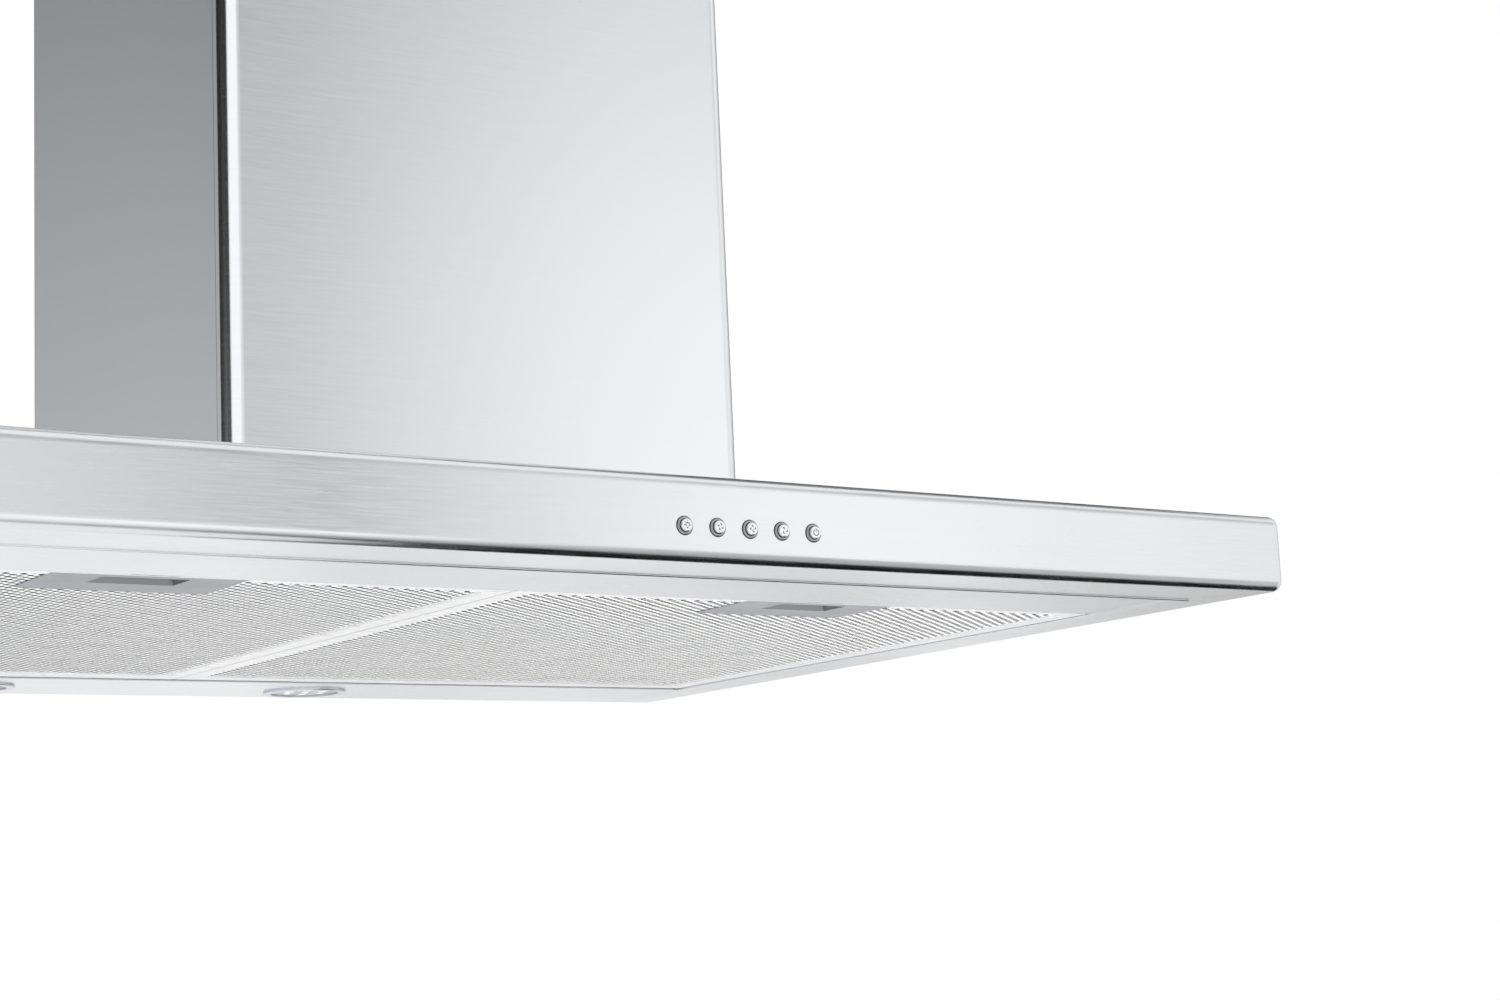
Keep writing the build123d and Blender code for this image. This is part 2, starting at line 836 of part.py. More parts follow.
def outlet_collar():
    base = box_top + box_sheet
    half = outlet_r + plenum_margin
    wall = outlet_wall
    y0 = outlet_offset - half
    y1 = outlet_offset + half
    plenum = block(-half, half, y0, y1, base, plenum_top)
    plenum = round_edges(plenum, Axis.Z, 4 * wall)
    plenum -= block(-half + wall, half - wall, y0 + wall, y1 - wall, base - past, plenum_top - wall)
    collar = plenum + rod_z(outlet_r, 0, outlet_offset, plenum_top - wall, spigot_top)
    collar -= rod_z(outlet_r - wall, 0, outlet_offset, plenum_top - 2 * wall, spigot_top + past)
    reach = outlet_r + 2 * wall
    collar -= rod_x(damper_pin_r + damper_pin_fit, -reach, reach, outlet_offset, damper_z)
    stop_top = damper_z - damper_thickness / 2 - damper_stop_gap
    for side in (-1, 1):
        y_in = outlet_offset + side * (outlet_r - wall - damper_stop)
        y_out = outlet_offset + side * (outlet_r - wall / 2)
        collar += block(-damper_stop, damper_stop, y_in, y_out, stop_top - damper_stop / 2, stop_top)
    return collar


def damper_pin():
    reach = outlet_r - damper_pin_recess
    return rod_x(damper_pin_r, -reach, reach, outlet_offset, damper_z)


def damper_flap(side):
    """Half of the back-draught damper. Side +1 is the rear half, -1 the front half."""
    radius = outlet_r - outlet_wall - damper_gap
    z0 = damper_z - damper_thickness / 2
    z1 = damper_z + damper_thickness / 2
    disc = rod_z(radius, 0, outlet_offset, z0, z1)
    keep0 = outlet_offset + side * damper_root
    keep1 = outlet_offset + side * 2 * outlet_r
    flap = disc & block(-2 * outlet_r, 2 * outlet_r, keep0, keep1, z0 - past, z1 + past)
    first = -knuckle_pitch * (knuckle_count - 1) / 2
    half = (knuckle_pitch - knuckle_space) / 2
    for i in range(knuckle_count):
        if i % 2 == (0 if side > 0 else 1):
            x = first + i * knuckle_pitch
            root = outlet_offset + side * damper_root
            web = block(x - half, x + half, outlet_offset, root + side, z0, z1)
            flap += web + rod_x(knuckle_r, x - half, x + half, outlet_offset, damper_z)
    reach = 2 * outlet_r
    bore = damper_pin_r + damper_pin_fit
    return flap - rod_x(bore, -reach, reach, outlet_offset, damper_z)


# ---- electrics ---------------------------------------------------------


def control_box():
    x0 = control_offset - control_length / 2
    x1 = control_offset + control_length / 2
    y0 = rail_front + lip_height / 2
    y1 = y0 + control_width
    z1 = top - sheet
    z0 = z1 - control_height
    box = block(x0, x1, y0, y1, z0, z1)
    box = round_edges(box, Axis.Z, 2 * control_wall)
    wall = control_wall
    return box - block(x0 + wall, x1 - wall, y0 + wall, y1 - wall, z0 - past, z1 - wall)


def control_board():
    x0 = control_offset - control_length / 2 + control_wall
    x1 = control_offset + control_length / 2 - control_wall
    y0 = rail_front + lip_height / 2 + control_wall
    y1 = y0 + control_width - 2 * control_wall
    z0 = top - sheet - control_height + 2 * control_wall
    fit = lamp_fit
    board = block(x0 + fit, x1 - fit, y0 + fit, y1 - fit, z0, z0 + board_thickness)
    z = z0 + board_thickness
    y = y0 + relay_size
    for i in range(relay_count):
        x = x0 + relay_size + i * 2 * relay_size
        board += block(x, x + relay_size, y, y + relay_size, z, z + relay_height)
    return board


def control_lid():
    x0 = control_offset - control_length / 2
    x1 = control_offset + control_length / 2
    y0 = rail_front + lip_height / 2
    z1 = top - sheet - control_height
    lid = block(x0, x1, y0, y0 + control_width, z1 - control_wall, z1)
    lid = round_edges(lid, Axis.Z, 2 * control_wall)
    post = 3 * control_wall
    for x in (x0 + post, x1 - post):
        for y in (y0 + post, y0 + control_width - post):
            lid += rod_z(control_wall, x, y, z1, z1 + 2 * control_wall - lamp_fit)
    return lid


def junction_box():
    half = junction_length / 2
    y0 = -box_half_y
    y1 = y0 + junction_width
    z0 = box_top + box_sheet
    z1 = z0 + junction_height
    box = block(-half, half, y0, y1, z0, z1)
    box = round_edges(box, Axis.Z, 2 * junction_wall)
    wall = junction_wall
    box -= block(-half + wall, half - wall, y0 + wall, y1 - wall, z0 + wall, z1 - wall)
    return box - rod_z(gland_r, 0, cable_y, z1 - 2 * wall, z1 + past)


def cable_gland():
    seat = box_top + box_sheet + junction_height
    z0 = seat - gland_length / 2
    gland = rod_z(gland_r - lamp_fit, 0, cable_y, z0, seat + gland_length / 2)
    gland += rod_z(gland_nut_r, 0, cable_y, seat, seat + gland_nut)
    nut_top = seat - junction_wall
    gland += rod_z(gland_nut_r, 0, cable_y, nut_top - gland_nut, nut_top)
    return gland - rod_z(gland_bore_r, 0, cable_y, z0 - past, seat + gland_length)


def capacitor():
    x = junction_length / 2 + 1.5 * capacitor_r
    z0 = box_top + box_sheet
    can = rod_z(capacitor_r, x, cable_y, z0, z0 + capacitor_height)
    return fillet(can.edges().filter_by(GeomType.CIRCLE).sort_by(Axis.Z)[-1], capacitor_round)


# ---- chimney covers ----------------------------------------------------


def cover_tube(inset, z0, z1):
    half_x = chimney_width / 2 - inset
    half_y = chimney_depth / 2 - inset
    outer = round_edges(block(-half_x, half_x, -half_y, half_y, z0, z1), Axis.Z, chimney_bend - inset)
    in_x = half_x - cover_sheet
    in_y = half_y - cover_sheet
    bend = chimney_bend - inset - cover_sheet
    inner = round_edges(block(-in_x, in_x, -in_y, in_y, z0 - past, z1 + past), Axis.Z, bend)
    return outer - inner


def cover_piece(is_front, inset, z0, z1, lip_z0, lip_z1):
    """One of the two folded covers that close the chimney, with the lips that join them."""
    tube = cover_tube(inset, z0, z1)
    far = chimney_depth
    gap = cover_joint_gap / 2
    edge = joint_y - gap if is_front else joint_y + gap
    away = -1 if is_front else 1
    piece = tube & block(-far, far, edge, edge + away * 2 * far, z0 - past, z1 + past)
    lip_x = chimney_width / 2 - inset - cover_sheet / 2
    for side in (-1, 1):
        x0 = side * (lip_x - cover_lip)
        piece += block(x0, side * lip_x, edge, edge + away * cover_sheet, lip_z0, lip_z1)
    return piece


def cover_screw_places():
    x = chimney_width / 2 - cover_sheet - cover_lip / 2
    return [(side * x, top + rise) for side in (-1, 1) for rise in cover_screw_heights]


def lower_cover(is_front):
    piece = cover_piece(is_front, 0, top, lower_cover_top, top, top + cover_tab_height)
    for x, z in cover_screw_places():
        piece -= rod_y(screw_r + screw_fit, x, joint_y - cover_lip, joint_y + cover_lip, z)
    return piece


def upper_cover(is_front):
    z1 = -ceiling_gap
    return cover_piece(is_front, upper_inset, upper_cover_bottom, z1, upper_cover_bottom, z1)


def cover_feet():
    feet = []
    for x, side, y in cover_foot_places():
        reach = x - side * cover_foot_reach
        half = cover_foot_length / 2
        foot = block(reach, x, y - half, y + half, top, top + cover_foot_sheet)
        foot += block(x - side * cover_foot_sheet, x, y - half, y + half, top, top + cover_foot_reach)
        foot -= rod_z(screw_r + screw_fit, x - side * cover_foot_reach / 2, y, top - past, top + 2 * screw_r)
        feet.append(foot)
    return Compound(feet)


# ---- self-tapping screws -----------------------------------------------


def screw_from_back(x, seat, z):
    """A screw driven towards the front, its head on the face at y = seat."""
    shank = rod_y(screw_r, x, seat - screw_length, seat, z)
    return shank + rod_y(screw_head_r, x, seat, seat + screw_head, z)


def screw_from_above(x, y, seat):
    """A screw driven downwards, its head on the face at z = seat."""
    shank = rod_z(screw_r, x, y, seat - screw_length, seat)
    return shank + rod_z(screw_head_r, x, y, seat, seat + screw_head)


def self_tapping_screws():
    screws = [screw_from_back(x, back, z) for x, z in back_screw_places()]
    lip_face = joint_y + cover_joint_gap / 2 + cover_sheet
    screws += [screw_from_back(x, lip_face, z) for x, z in cover_screw_places()]
    for x, side, y in cover_foot_places():
        screws.append(screw_from_above(x - side * cover_foot_reach / 2, y, top + cover_foot_sheet))
    for x, y in box_screw_places():
        screws.append(screw_from_above(x, y, top + 2 * box_sheet))
    return Compound(screws)


# ---- hanging frame -----------------------------------------------------


def angle_post(sx, sy, half_x, half_y, leg, z0, z1):
    x0 = sx * half_x
    y0 = sy * half_y
    post = block(x0, x0 - sx * leg, y0, y0 - sy * post_sheet, z0, z1)
    return post + block(x0, x0 - sx * post_sheet, y0, y0 - sy * leg, z0, z1)


def frame_of_posts(half_x, half_y, leg, z0, z1, brace_z):
    frame = None
    for sx in (-1, 1):
        for sy in (-1, 1):
            post = angle_post(sx, sy, half_x, half_y, leg, z0, z1)
            frame = post if frame is None else frame + post
    for s in (-1, 1):
        y0 = s * half_y
        x0 = s * half_x
        span_x = half_x - leg / 2
        span_y = half_y - leg / 2
        top_z = brace_z + brace_height
        frame += block(-span_x, span_x, y0, y0 - s * post_sheet, brace_z, top_z)
        frame += block(x0, x0 - s * post_sheet, -span_y, span_y, brace_z, top_z)
    return frame


def post_bolt_places():
    x = frame_half_x - post_leg / 2
    z = (lower_post_top + upper_post_bottom) / 2
    heights = (z - post_bolt_rise, z + post_bolt_rise)
    return [(sx * x, sy, height) for sx in (-1, 1) for sy in (-1, 1) for height in heights]


def bolt_holes_through_posts(frame):
    for x, sy, z in post_bolt_places():
        y0 = sy * (frame_half_y - 4 * post_sheet)
        frame -= rod_y(bolt_r + bolt_fit, x, y0, sy * (frame_half_y + past), z)
    return frame


def lower_frame():
    frame = frame_of_posts(
        frame_half_x, frame_half_y, post_leg, top, lower_post_top, lower_post_top - brace_height
    )
    for x, y in foot_places():
        sx = math.copysign(1, x)
        sy = math.copysign(1, y)
        y0 = sy * (frame_half_y - post_leg / 2)
        y1 = y - sy * foot_width / 2
        x0 = sx * frame_half_x
        frame += block(x0, x0 - sx * foot_width, y0, y1, top, top + post_sheet)
        frame -= rod_z(bolt_r + bolt_fit, x, y, top - past, top + 2 * post_sheet)
    return bolt_holes_through_posts(frame)


def plate_bolt_places():
    x = frame_half_x - post_leg / 2
    y = frame_half_y - post_leg / 2
    return [(sx * x, sy * y) for sx in (-1, 1) for sy in (-1, 1)]


def upper_frame():
    half_x = frame_half_x - post_sheet
    half_y = frame_half_y - post_sheet
    leg = post_leg - post_sheet
    z1 = -plate_thickness
    frame = frame_of_posts(half_x, half_y, leg, upper_post_bottom, z1, upper_post_bottom)
    for x, y in plate_bolt_places():
        sx = math.copysign(1, x)
        sy = math.copysign(1, y)
        frame += block(
            sx * half_x, sx * (half_x - leg), sy * half_y, sy * (half_y - leg), z1 - post_sheet, z1
        )
        frame -= rod_z(bolt_r + bolt_fit, x, y, z1 - 2 * post_sheet, z1 + past)
    return bolt_holes_through_posts(frame)


def ceiling_plate():
    plate = block(-plate_half_x, plate_half_x, -plate_half_y, plate_half_y, -plate_thickness, 0)
    plate = round_edges(plate, Axis.Z, 2 * plate_thickness)
    for s in (-1, 1):
        x0 = s * plate_half_x
        inner = x0 - s * post_sheet / 2
        span = plate_half_y - post_leg
        plate += block(x0, inner, -span, span, -plate_skirt, -plate_thickness / 2)
    for sx in (-1, 1):
        for sy in (-1, 1):
            x = sx * ceiling_spacing_x / 2
            y = sy * ceiling_spacing_y / 2
            plate -= rod_z(ceiling_hole_r, x, y, -2 * plate_thickness, past)
    plate -= rod_z(duct_hole_r, 0, outlet_offset, -2 * plate_thickness, past)
    window = block(
        -cable_window_half_x, cable_window_half_x,
        cable_y - cable_window_half_y, cable_y + cable_window_half_y, -2 * plate_thickness, past,
    )
    plate -= round_edges(window, Axis.Z, cable_window_corner)
    for x, y in plate_bolt_places():
        plate -= rod_z(bolt_r + bolt_fit, x, y, -2 * plate_thickness, past)
    return plate


def post_bolt(x, sy, z):
    y_out = sy * frame_half_y
    y_in = sy * (frame_half_y - 2 * post_sheet)
    bolt = rod_y(bolt_r, x, y_in - sy * bolt_head, y_out, z)
    bolt += rod_y(bolt_head_r, x, y_out, y_out + sy * bolt_head, z)
    return bolt + rod_y(bolt_head_r, x, y_in, y_in - sy * bolt_head, z)


def foot_bolt(x, y):
    low = top - sheet
    high = top + post_sheet
    bolt = rod_z(bolt_r, x, y, low - bolt_head, high)
    bolt += rod_z(bolt_head_r, x, y, high, high + bolt_head)
    return bolt + rod_z(bolt_head_r, x, y, low - bolt_head, low)


def frame_bolts():
    bolts = [post_bolt(x, sy, z) for x, sy, z in post_bolt_places()]
    bolts += [foot_bolt(x, y) for x, y in foot_places()]
    return Compound(bolts)


def plate_screws():
    """Countersunk screws, flush with the ceiling face of the plate, with a nut below."""
    screws = []
    for x, y in plate_bolt_places():
        low = -plate_thickness - post_sheet
        screw = rod_z(bolt_r, x, y, low - bolt_head, 0)
        screw += rod_z(bolt_head_r, x, y, low - bolt_head, low)
        screws.append(screw)
    return Compound(screws)


# ---- write every node --------------------------------------------------

os.makedirs("parts", exist_ok=True)

save(canopy_shell(), "canopy_shell")
save(front_rail(), "front_rail")
save(rear_panel(), "rear_panel")

for piece in (
    filter_frame, filter_face_mesh, filter_core, filter_back_mesh, latch_body, latch_slide, latch_spring
):
    right = piece()
    save(right, piece.__name__ + "_right")
    save(mirror_x(right), piece.__name__ + "_left")

for place, lamp_x in lamp_places().items():
    for piece in (lamp_bezel, lamp_lens, lamp_led_board, lamp_housing):
        save(piece(lamp_x), piece.__name__ + "_" + place)

button_names = ("light_button", "fan_low_button", "fan_medium_button", "fan_high_button", "power_button")
for name, button_x in zip(button_names, button_places()):
    save(button_cap(button_x), name)
save(button_rings(), "button_rings")
save(switch_housing(), "switch_housing")
save(switch_board(), "switch_board")

save(scroll_half_shell(-1), "scroll_half_left")
save(scroll_half_shell(1), "scroll_half_right")
save(impeller(), "impeller")
save(motor(), "motor")
save(motor_bracket(), "motor_bracket")
save(air_box(), "air_box")
save(outlet_collar(), "outlet_collar")
save(damper_pin(), "damper_pin")
save(damper_flap(-1), "damper_flap_front")
save(damper_flap(1), "damper_flap_rear")

save(control_box(), "control_box")
save(control_board(), "control_board")
save(control_lid(), "control_lid")
save(junction_box(), "junction_box")
save(cable_gland(), "cable_gland")
save(capacitor(), "capacitor")

save(lower_cover(True), "lower_cover_front")
save(lower_cover(False), "lower_cover_rear")
save(upper_cover(True), "upper_cover_front")
save(upper_cover(False), "upper_cover_rear")
save(cover_feet(), "cover_feet")
save(self_tapping_screws(), "self_tapping_screws")

save(lower_frame(), "lower_frame")
save(upper_frame(), "upper_frame")
save(ceiling_plate(), "ceiling_plate")
save(frame_bolts(), "frame_bolts")
save(plate_screws(), "plate_screws")
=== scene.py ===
import math

import bpy
import numpy as np
from mathutils import Matrix, Vector


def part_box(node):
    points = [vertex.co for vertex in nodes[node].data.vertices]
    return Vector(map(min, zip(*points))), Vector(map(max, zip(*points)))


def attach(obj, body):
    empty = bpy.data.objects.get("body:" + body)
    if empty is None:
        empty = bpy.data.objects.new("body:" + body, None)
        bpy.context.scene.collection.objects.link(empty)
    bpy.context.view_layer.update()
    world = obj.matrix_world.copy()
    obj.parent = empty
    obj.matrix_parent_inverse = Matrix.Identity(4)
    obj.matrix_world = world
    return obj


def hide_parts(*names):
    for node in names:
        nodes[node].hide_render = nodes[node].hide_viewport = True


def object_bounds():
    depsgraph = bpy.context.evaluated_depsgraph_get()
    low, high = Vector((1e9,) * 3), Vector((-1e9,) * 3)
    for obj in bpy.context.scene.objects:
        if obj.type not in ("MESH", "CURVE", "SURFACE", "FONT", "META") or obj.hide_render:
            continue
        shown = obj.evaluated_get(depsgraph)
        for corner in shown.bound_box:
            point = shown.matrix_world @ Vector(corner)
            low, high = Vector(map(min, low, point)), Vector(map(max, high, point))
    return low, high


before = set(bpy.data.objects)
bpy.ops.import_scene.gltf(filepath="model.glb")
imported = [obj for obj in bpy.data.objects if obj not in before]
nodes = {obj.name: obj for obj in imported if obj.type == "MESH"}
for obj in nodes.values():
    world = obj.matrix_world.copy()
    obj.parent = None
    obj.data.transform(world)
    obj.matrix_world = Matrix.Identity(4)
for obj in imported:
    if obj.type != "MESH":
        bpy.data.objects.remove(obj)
cad_low, cad_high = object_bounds()
MM = 0.001


# ---- Canopy shell ------------------------------------------------------
# One sheet of 1 mm stainless steel folded into a shallow box, with flanges turned in
# underneath. Its outside is brushed along its length, and the corners are welded and linished.

STEEL_TINT = (0.855, 0.865, 0.88)
LEVEL_NORMAL = 0.8
LEVEL_TANGENT = 0.05
GRAIN_STRETCH = 40
GRAIN_CONTRAST = 0.1
BRUSH_RELIEF = 0.02 * MM


def node_tree(name):
    """A new material with a Principled shader; returns the material, its tree and the shader."""
    material = bpy.data.materials.new(name)
    material.use_nodes = True
    tree = material.node_tree
    return material, tree, tree.nodes["Principled BSDF"]


def add_node(tree, kind, **settings):
    node = tree.nodes.new(kind)
    for key, value in settings.items():
        setattr(node, key, value)
    return node


def ramp(tree, source, low, high, from_low=0.3, from_high=0.7):
    """Maps a 0 to 1 value, most of it between from_low and from_high, to low to high."""
    node = add_node(tree, "ShaderNodeMapRange")
    node.inputs["From Min"].default_value = from_low
    node.inputs["From Max"].default_value = from_high
    node.inputs["To Min"].default_value = low
    node.inputs["To Max"].default_value = high
    tree.links.new(source, node.inputs["Value"])
    return node.outputs["Result"]


def streaks(tree, stretch, detail=3.0):
    """Noise drawn out by stretch, lines per metre along X, Y and Z."""
    place = add_node(tree, "ShaderNodeTexCoord")
    scale = add_node(tree, "ShaderNodeVectorMath", operation="MULTIPLY")
    scale.inputs[1].default_value = stretch
    tree.links.new(place.outputs["Object"], scale.inputs[0])
    noise = add_node(tree, "ShaderNodeTexNoise")
    noise.inputs["Scale"].default_value = 1.0
    noise.inputs["Detail"].default_value = detail
    noise.inputs["Roughness"].default_value = 0.6
    tree.links.new(scale.outputs[0], noise.inputs["Vector"])
    return noise.outputs["Fac"]


def blend_values(tree, factor, a, b):
    node = add_node(tree, "ShaderNodeMix", data_type="FLOAT")
    tree.links.new(factor, node.inputs["Factor"])
    tree.links.new(a, node.inputs[2])
    tree.links.new(b, node.inputs[3])
    return node.outputs[0]


def lies_flat(tree):
    """1 on surfaces that face up or down, 0 on upright ones."""
    geometry = add_node(tree, "ShaderNodeNewGeometry")
    split = add_node(tree, "ShaderNodeSeparateXYZ")
    tree.links.new(geometry.outputs["True Normal"], split.inputs[0])
    size = add_node(tree, "ShaderNodeMath", operation="ABSOLUTE")
    tree.links.new(split.outputs["Z"], size.inputs[0])
    flat = add_node(tree, "ShaderNodeMath", operation="GREATER_THAN")
    flat.inputs[1].default_value = LEVEL_NORMAL
    tree.links.new(size.outputs[0], flat.inputs[0])
    return flat.outputs[0]


def brush_direction(tree):
    """The tangent that the brushing follows: level round the upright sides, along X elsewhere."""
    geometry = add_node(tree, "ShaderNodeNewGeometry")
    cross = add_node(tree, "ShaderNodeVectorMath", operation="CROSS_PRODUCT")
    cross.inputs[0].default_value = (0, 0, 1)
    tree.links.new(geometry.outputs["Normal"], cross.inputs[1])
    add = add_node(tree, "ShaderNodeVectorMath", operation="ADD")
    add.inputs[1].default_value = (LEVEL_TANGENT, 0, 0)
    tree.links.new(cross.outputs[0], add.inputs[0])
    return add.outputs[0]


def colour_between(tree, shader, factor, dark, light):
    """A base colour that goes from dark to light as the factor goes from 0 to 1."""
    colour = add_node(tree, "ShaderNodeMix", data_type="RGBA")
    colour.inputs["A"].default_value = [*dark, 1]
    colour.inputs["B"].default_value = [*light, 1]
    tree.links.new(factor, colour.inputs["Factor"])
    tree.links.new(colour.outputs["Result"], shader.inputs["Base Color"])


def raise_grain(tree, shader, height, strength, relief):
    """Fine relief from a height that goes from 0 to 1."""
    bump = add_node(tree, "ShaderNodeBump")
    bump.inputs["Strength"].default_value = strength
    bump.inputs["Distance"].default_value = relief
    tree.links.new(height, bump.inputs["Height"])
    tree.links.new(bump.outputs["Normal"], shader.inputs["Normal"])


def brushed_steel(name, tint, shine, spread, fine=1500.0, depth=0.35, anisotropy=0.6, contrast=0.7):
    """Brushed stainless sheet with fine lines per metre across its grain. shine is its mean
    roughness, spread the range of that, and contrast how strongly the grain shows in its colour."""
    material, tree, shader = node_tree(name)
    along = fine / GRAIN_STRETCH
    upright_fine = streaks(tree, (along, along, fine))
    flat_fine = streaks(tree, (along, fine, along))
    grain = blend_values(tree, lies_flat(tree), upright_fine, flat_fine)
    broad = streaks(tree, (9, 9, 160), detail=4.0)
    patches = streaks(tree, (6, 6, 6), detail=2.0)
    both = add_node(tree, "ShaderNodeMath", operation="MULTIPLY")
    tree.links.new(ramp(tree, grain, 0.35, 1.0), both.inputs[0])
    tree.links.new(ramp(tree, broad, 0.85, 1.0), both.inputs[1])
    dark = [c * (1 - GRAIN_CONTRAST * contrast) for c in tint]
    colour_between(tree, shader, both.outputs[0], dark, tint)
    rough = add_node(tree, "ShaderNodeMath", operation="ADD")
    tree.links.new(ramp(tree, grain, shine - spread, shine + spread), rough.inputs[0])
    tree.links.new(ramp(tree, patches, -spread / 2, spread / 2), rough.inputs[1])
    tree.links.new(rough.outputs[0], shader.inputs["Roughness"])
    raise_grain(tree, shader, grain, depth, BRUSH_RELIEF)
    tree.links.new(brush_direction(tree), shader.inputs["Tangent"])
    shader.inputs["Metallic"].default_value = 1.0
    shader.inputs["Anisotropic"].default_value = anisotropy
    shader.inputs["Anisotropic Rotation"].default_value = 0.25
    return material


def finish_node(node, material):
    """Gives a carried-over solid its finish."""
    mesh = nodes[node].data
    mesh.materials.clear()
    mesh.materials.append(material)


canopy_steel = brushed_steel("brushed_canopy_steel", STEEL_TINT, 0.21, 0.06, contrast=1.0)
finish_node("canopy_shell", canopy_steel)


# ---- Front rail and rear panel -----------------------------------------
# Two folded strips of the same steel that close the underside: the rail sits behind the
# front flange, and the panel carries the lamps and turns up as the canopy's back wall.

HEM_DROP = 0.9 * MM
HEM_DEPTH = 3.0 * MM
HEM_FROM_FRONT = 48.6 * MM
HEM_STEPS = 6
shell_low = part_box("canopy_shell")[0]
rail_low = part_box("front_rail")[0]
panel_low, panel_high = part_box("rear_panel")
satin_steel = brushed_steel("satin_underside_steel", STEEL_TINT, 0.24, 0.04, fine=1100.0)
finish_node("front_rail", satin_steel)
finish_node("rear_panel", satin_steel)


def new_piece(name, points, faces):
    mesh = bpy.data.meshes.new(name)
    mesh.from_pydata(points, [], faces)
    piece = bpy.data.objects.new(name, mesh)
    bpy.context.scene.collection.objects.link(piece)
    return piece


def sweep_along_x(name, profile, x0, x1):
    """A bar with a (y, z) outline, closed at its ends."""
    count = len(profile)
    points = [(x, y, z) for x in (x0, x1) for y, z in profile]
    faces = [(i, (i + 1) % count, count + (i + 1) % count, count + i) for i in range(count)]
    faces += [tuple(reversed(range(count))), tuple(range(count, 2 * count))]
    return new_piece(name, points, faces)


hem_front = shell_low.y + HEM_FROM_FRONT
hem_z = rail_low.z
outline = [(hem_front + HEM_DEPTH, hem_z), (hem_front, hem_z)]
for step in range(HEM_STEPS + 1):
    angle = math.radians(180 + 90 * step / HEM_STEPS)
    outline.append((hem_front + HEM_DROP + HEM_DROP * math.cos(angle),
                    hem_z - HEM_DROP + HEM_DROP * math.sin(angle)))
rail_hem = sweep_along_x("rail_hem", outline, panel_low.x, panel_high.x)
rail_hem.data.materials.append(satin_steel)
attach(rail_hem, "hood")


# ---- Grease filters ----------------------------------------------------
# Each filter is a folded aluminium frame round a pack of expanded mesh. The face mesh is
# slit and stretched sheet, so its strands lie tilted and leave small diamond holes.

DIAMOND_WIDE = 9.0 * MM
DIAMOND_DEEP = 6.9 * MM
HOLE_SHARE = (0.67, 0.42)
STRAND_TILT = 0.38 * MM
STRAND_SHEET = 0.3 * MM
SWELL = 0.1 * MM
SWELL_WAVES = (95, 61)
SWELL_START = 1.3
MESH_DIP = 1.05 * MM
MESH_DIP_RUN = 5.0 * MM
MESH_HEM = 3.0 * MM
MESH_WALL = 1.2 * MM
WELD_REACH = 0.01 * MM
LATCH_FIT = 0.2 * MM
LATCH_AHEAD = 20.0 * MM
WINDOW_SIDE = 12.0 * MM
WINDOW_FRONT = 8.0 * MM
WINDOW_REAR = 17.0 * MM
WINDOW_CORNER = 10.0 * MM
WINDOW_HEM = 1.5 * MM
WINDOW_HEM_SHEET = 0.2 * MM
WINDOW_HEM_SET_IN = 0.1 * MM
WINDOW_HEM_TOP = 0.6 * MM
WINDOW_HEM_BEND = ((0.0, 0.0), (0.15, 0.2 * MM), (0.6, 0.8 * MM))
CORNER_STEPS = 8
GRAIN_RELIEF = 0.05 * MM
MOTTLE_SHADE = 0.88


def aluminium(name, tint, shine, spread, noise_scale, depth, metallic=1.0):
    """Rolled aluminium with a soft mottle, noise_scale spots per metre."""
    material, tree, shader = node_tree(name)
    mottle = streaks(tree, (noise_scale, noise_scale, noise_scale), detail=5.0)
    rolled = streaks(tree, (30, 900, 900), detail=2.0)
    colour_between(tree, shader, ramp(tree, mottle, 0, 1), [c * MOTTLE_SHADE for c in tint], tint)
    tree.links.new(ramp(tree, rolled, shine - spread, shine + spread), shader.inputs["Roughness"])
    raise_grain(tree, shader, mottle, depth, GRAIN_RELIEF)
    shader.inputs["Metallic"].default_value = metallic
    return material


def nearest_outside(points, low, high):
    """Moves the points that lie inside a rectangle to its nearest edge; also says which moved."""
    inside = np.all((points[:, :2] > low) & (points[:, :2] < high), axis=1)
    gaps = np.stack([points[:, 0] - low[0], high[0] - points[:, 0],
                     points[:, 1] - low[1], high[1] - points[:, 1]], axis=1)
    side = np.argmin(gaps, axis=1)
    for k, (axis, edge) in enumerate(((0, low[0]), (0, high[0]), (1, low[1]), (1, high[1]))):
        points[inside & (side == k), axis] = edge
    return inside


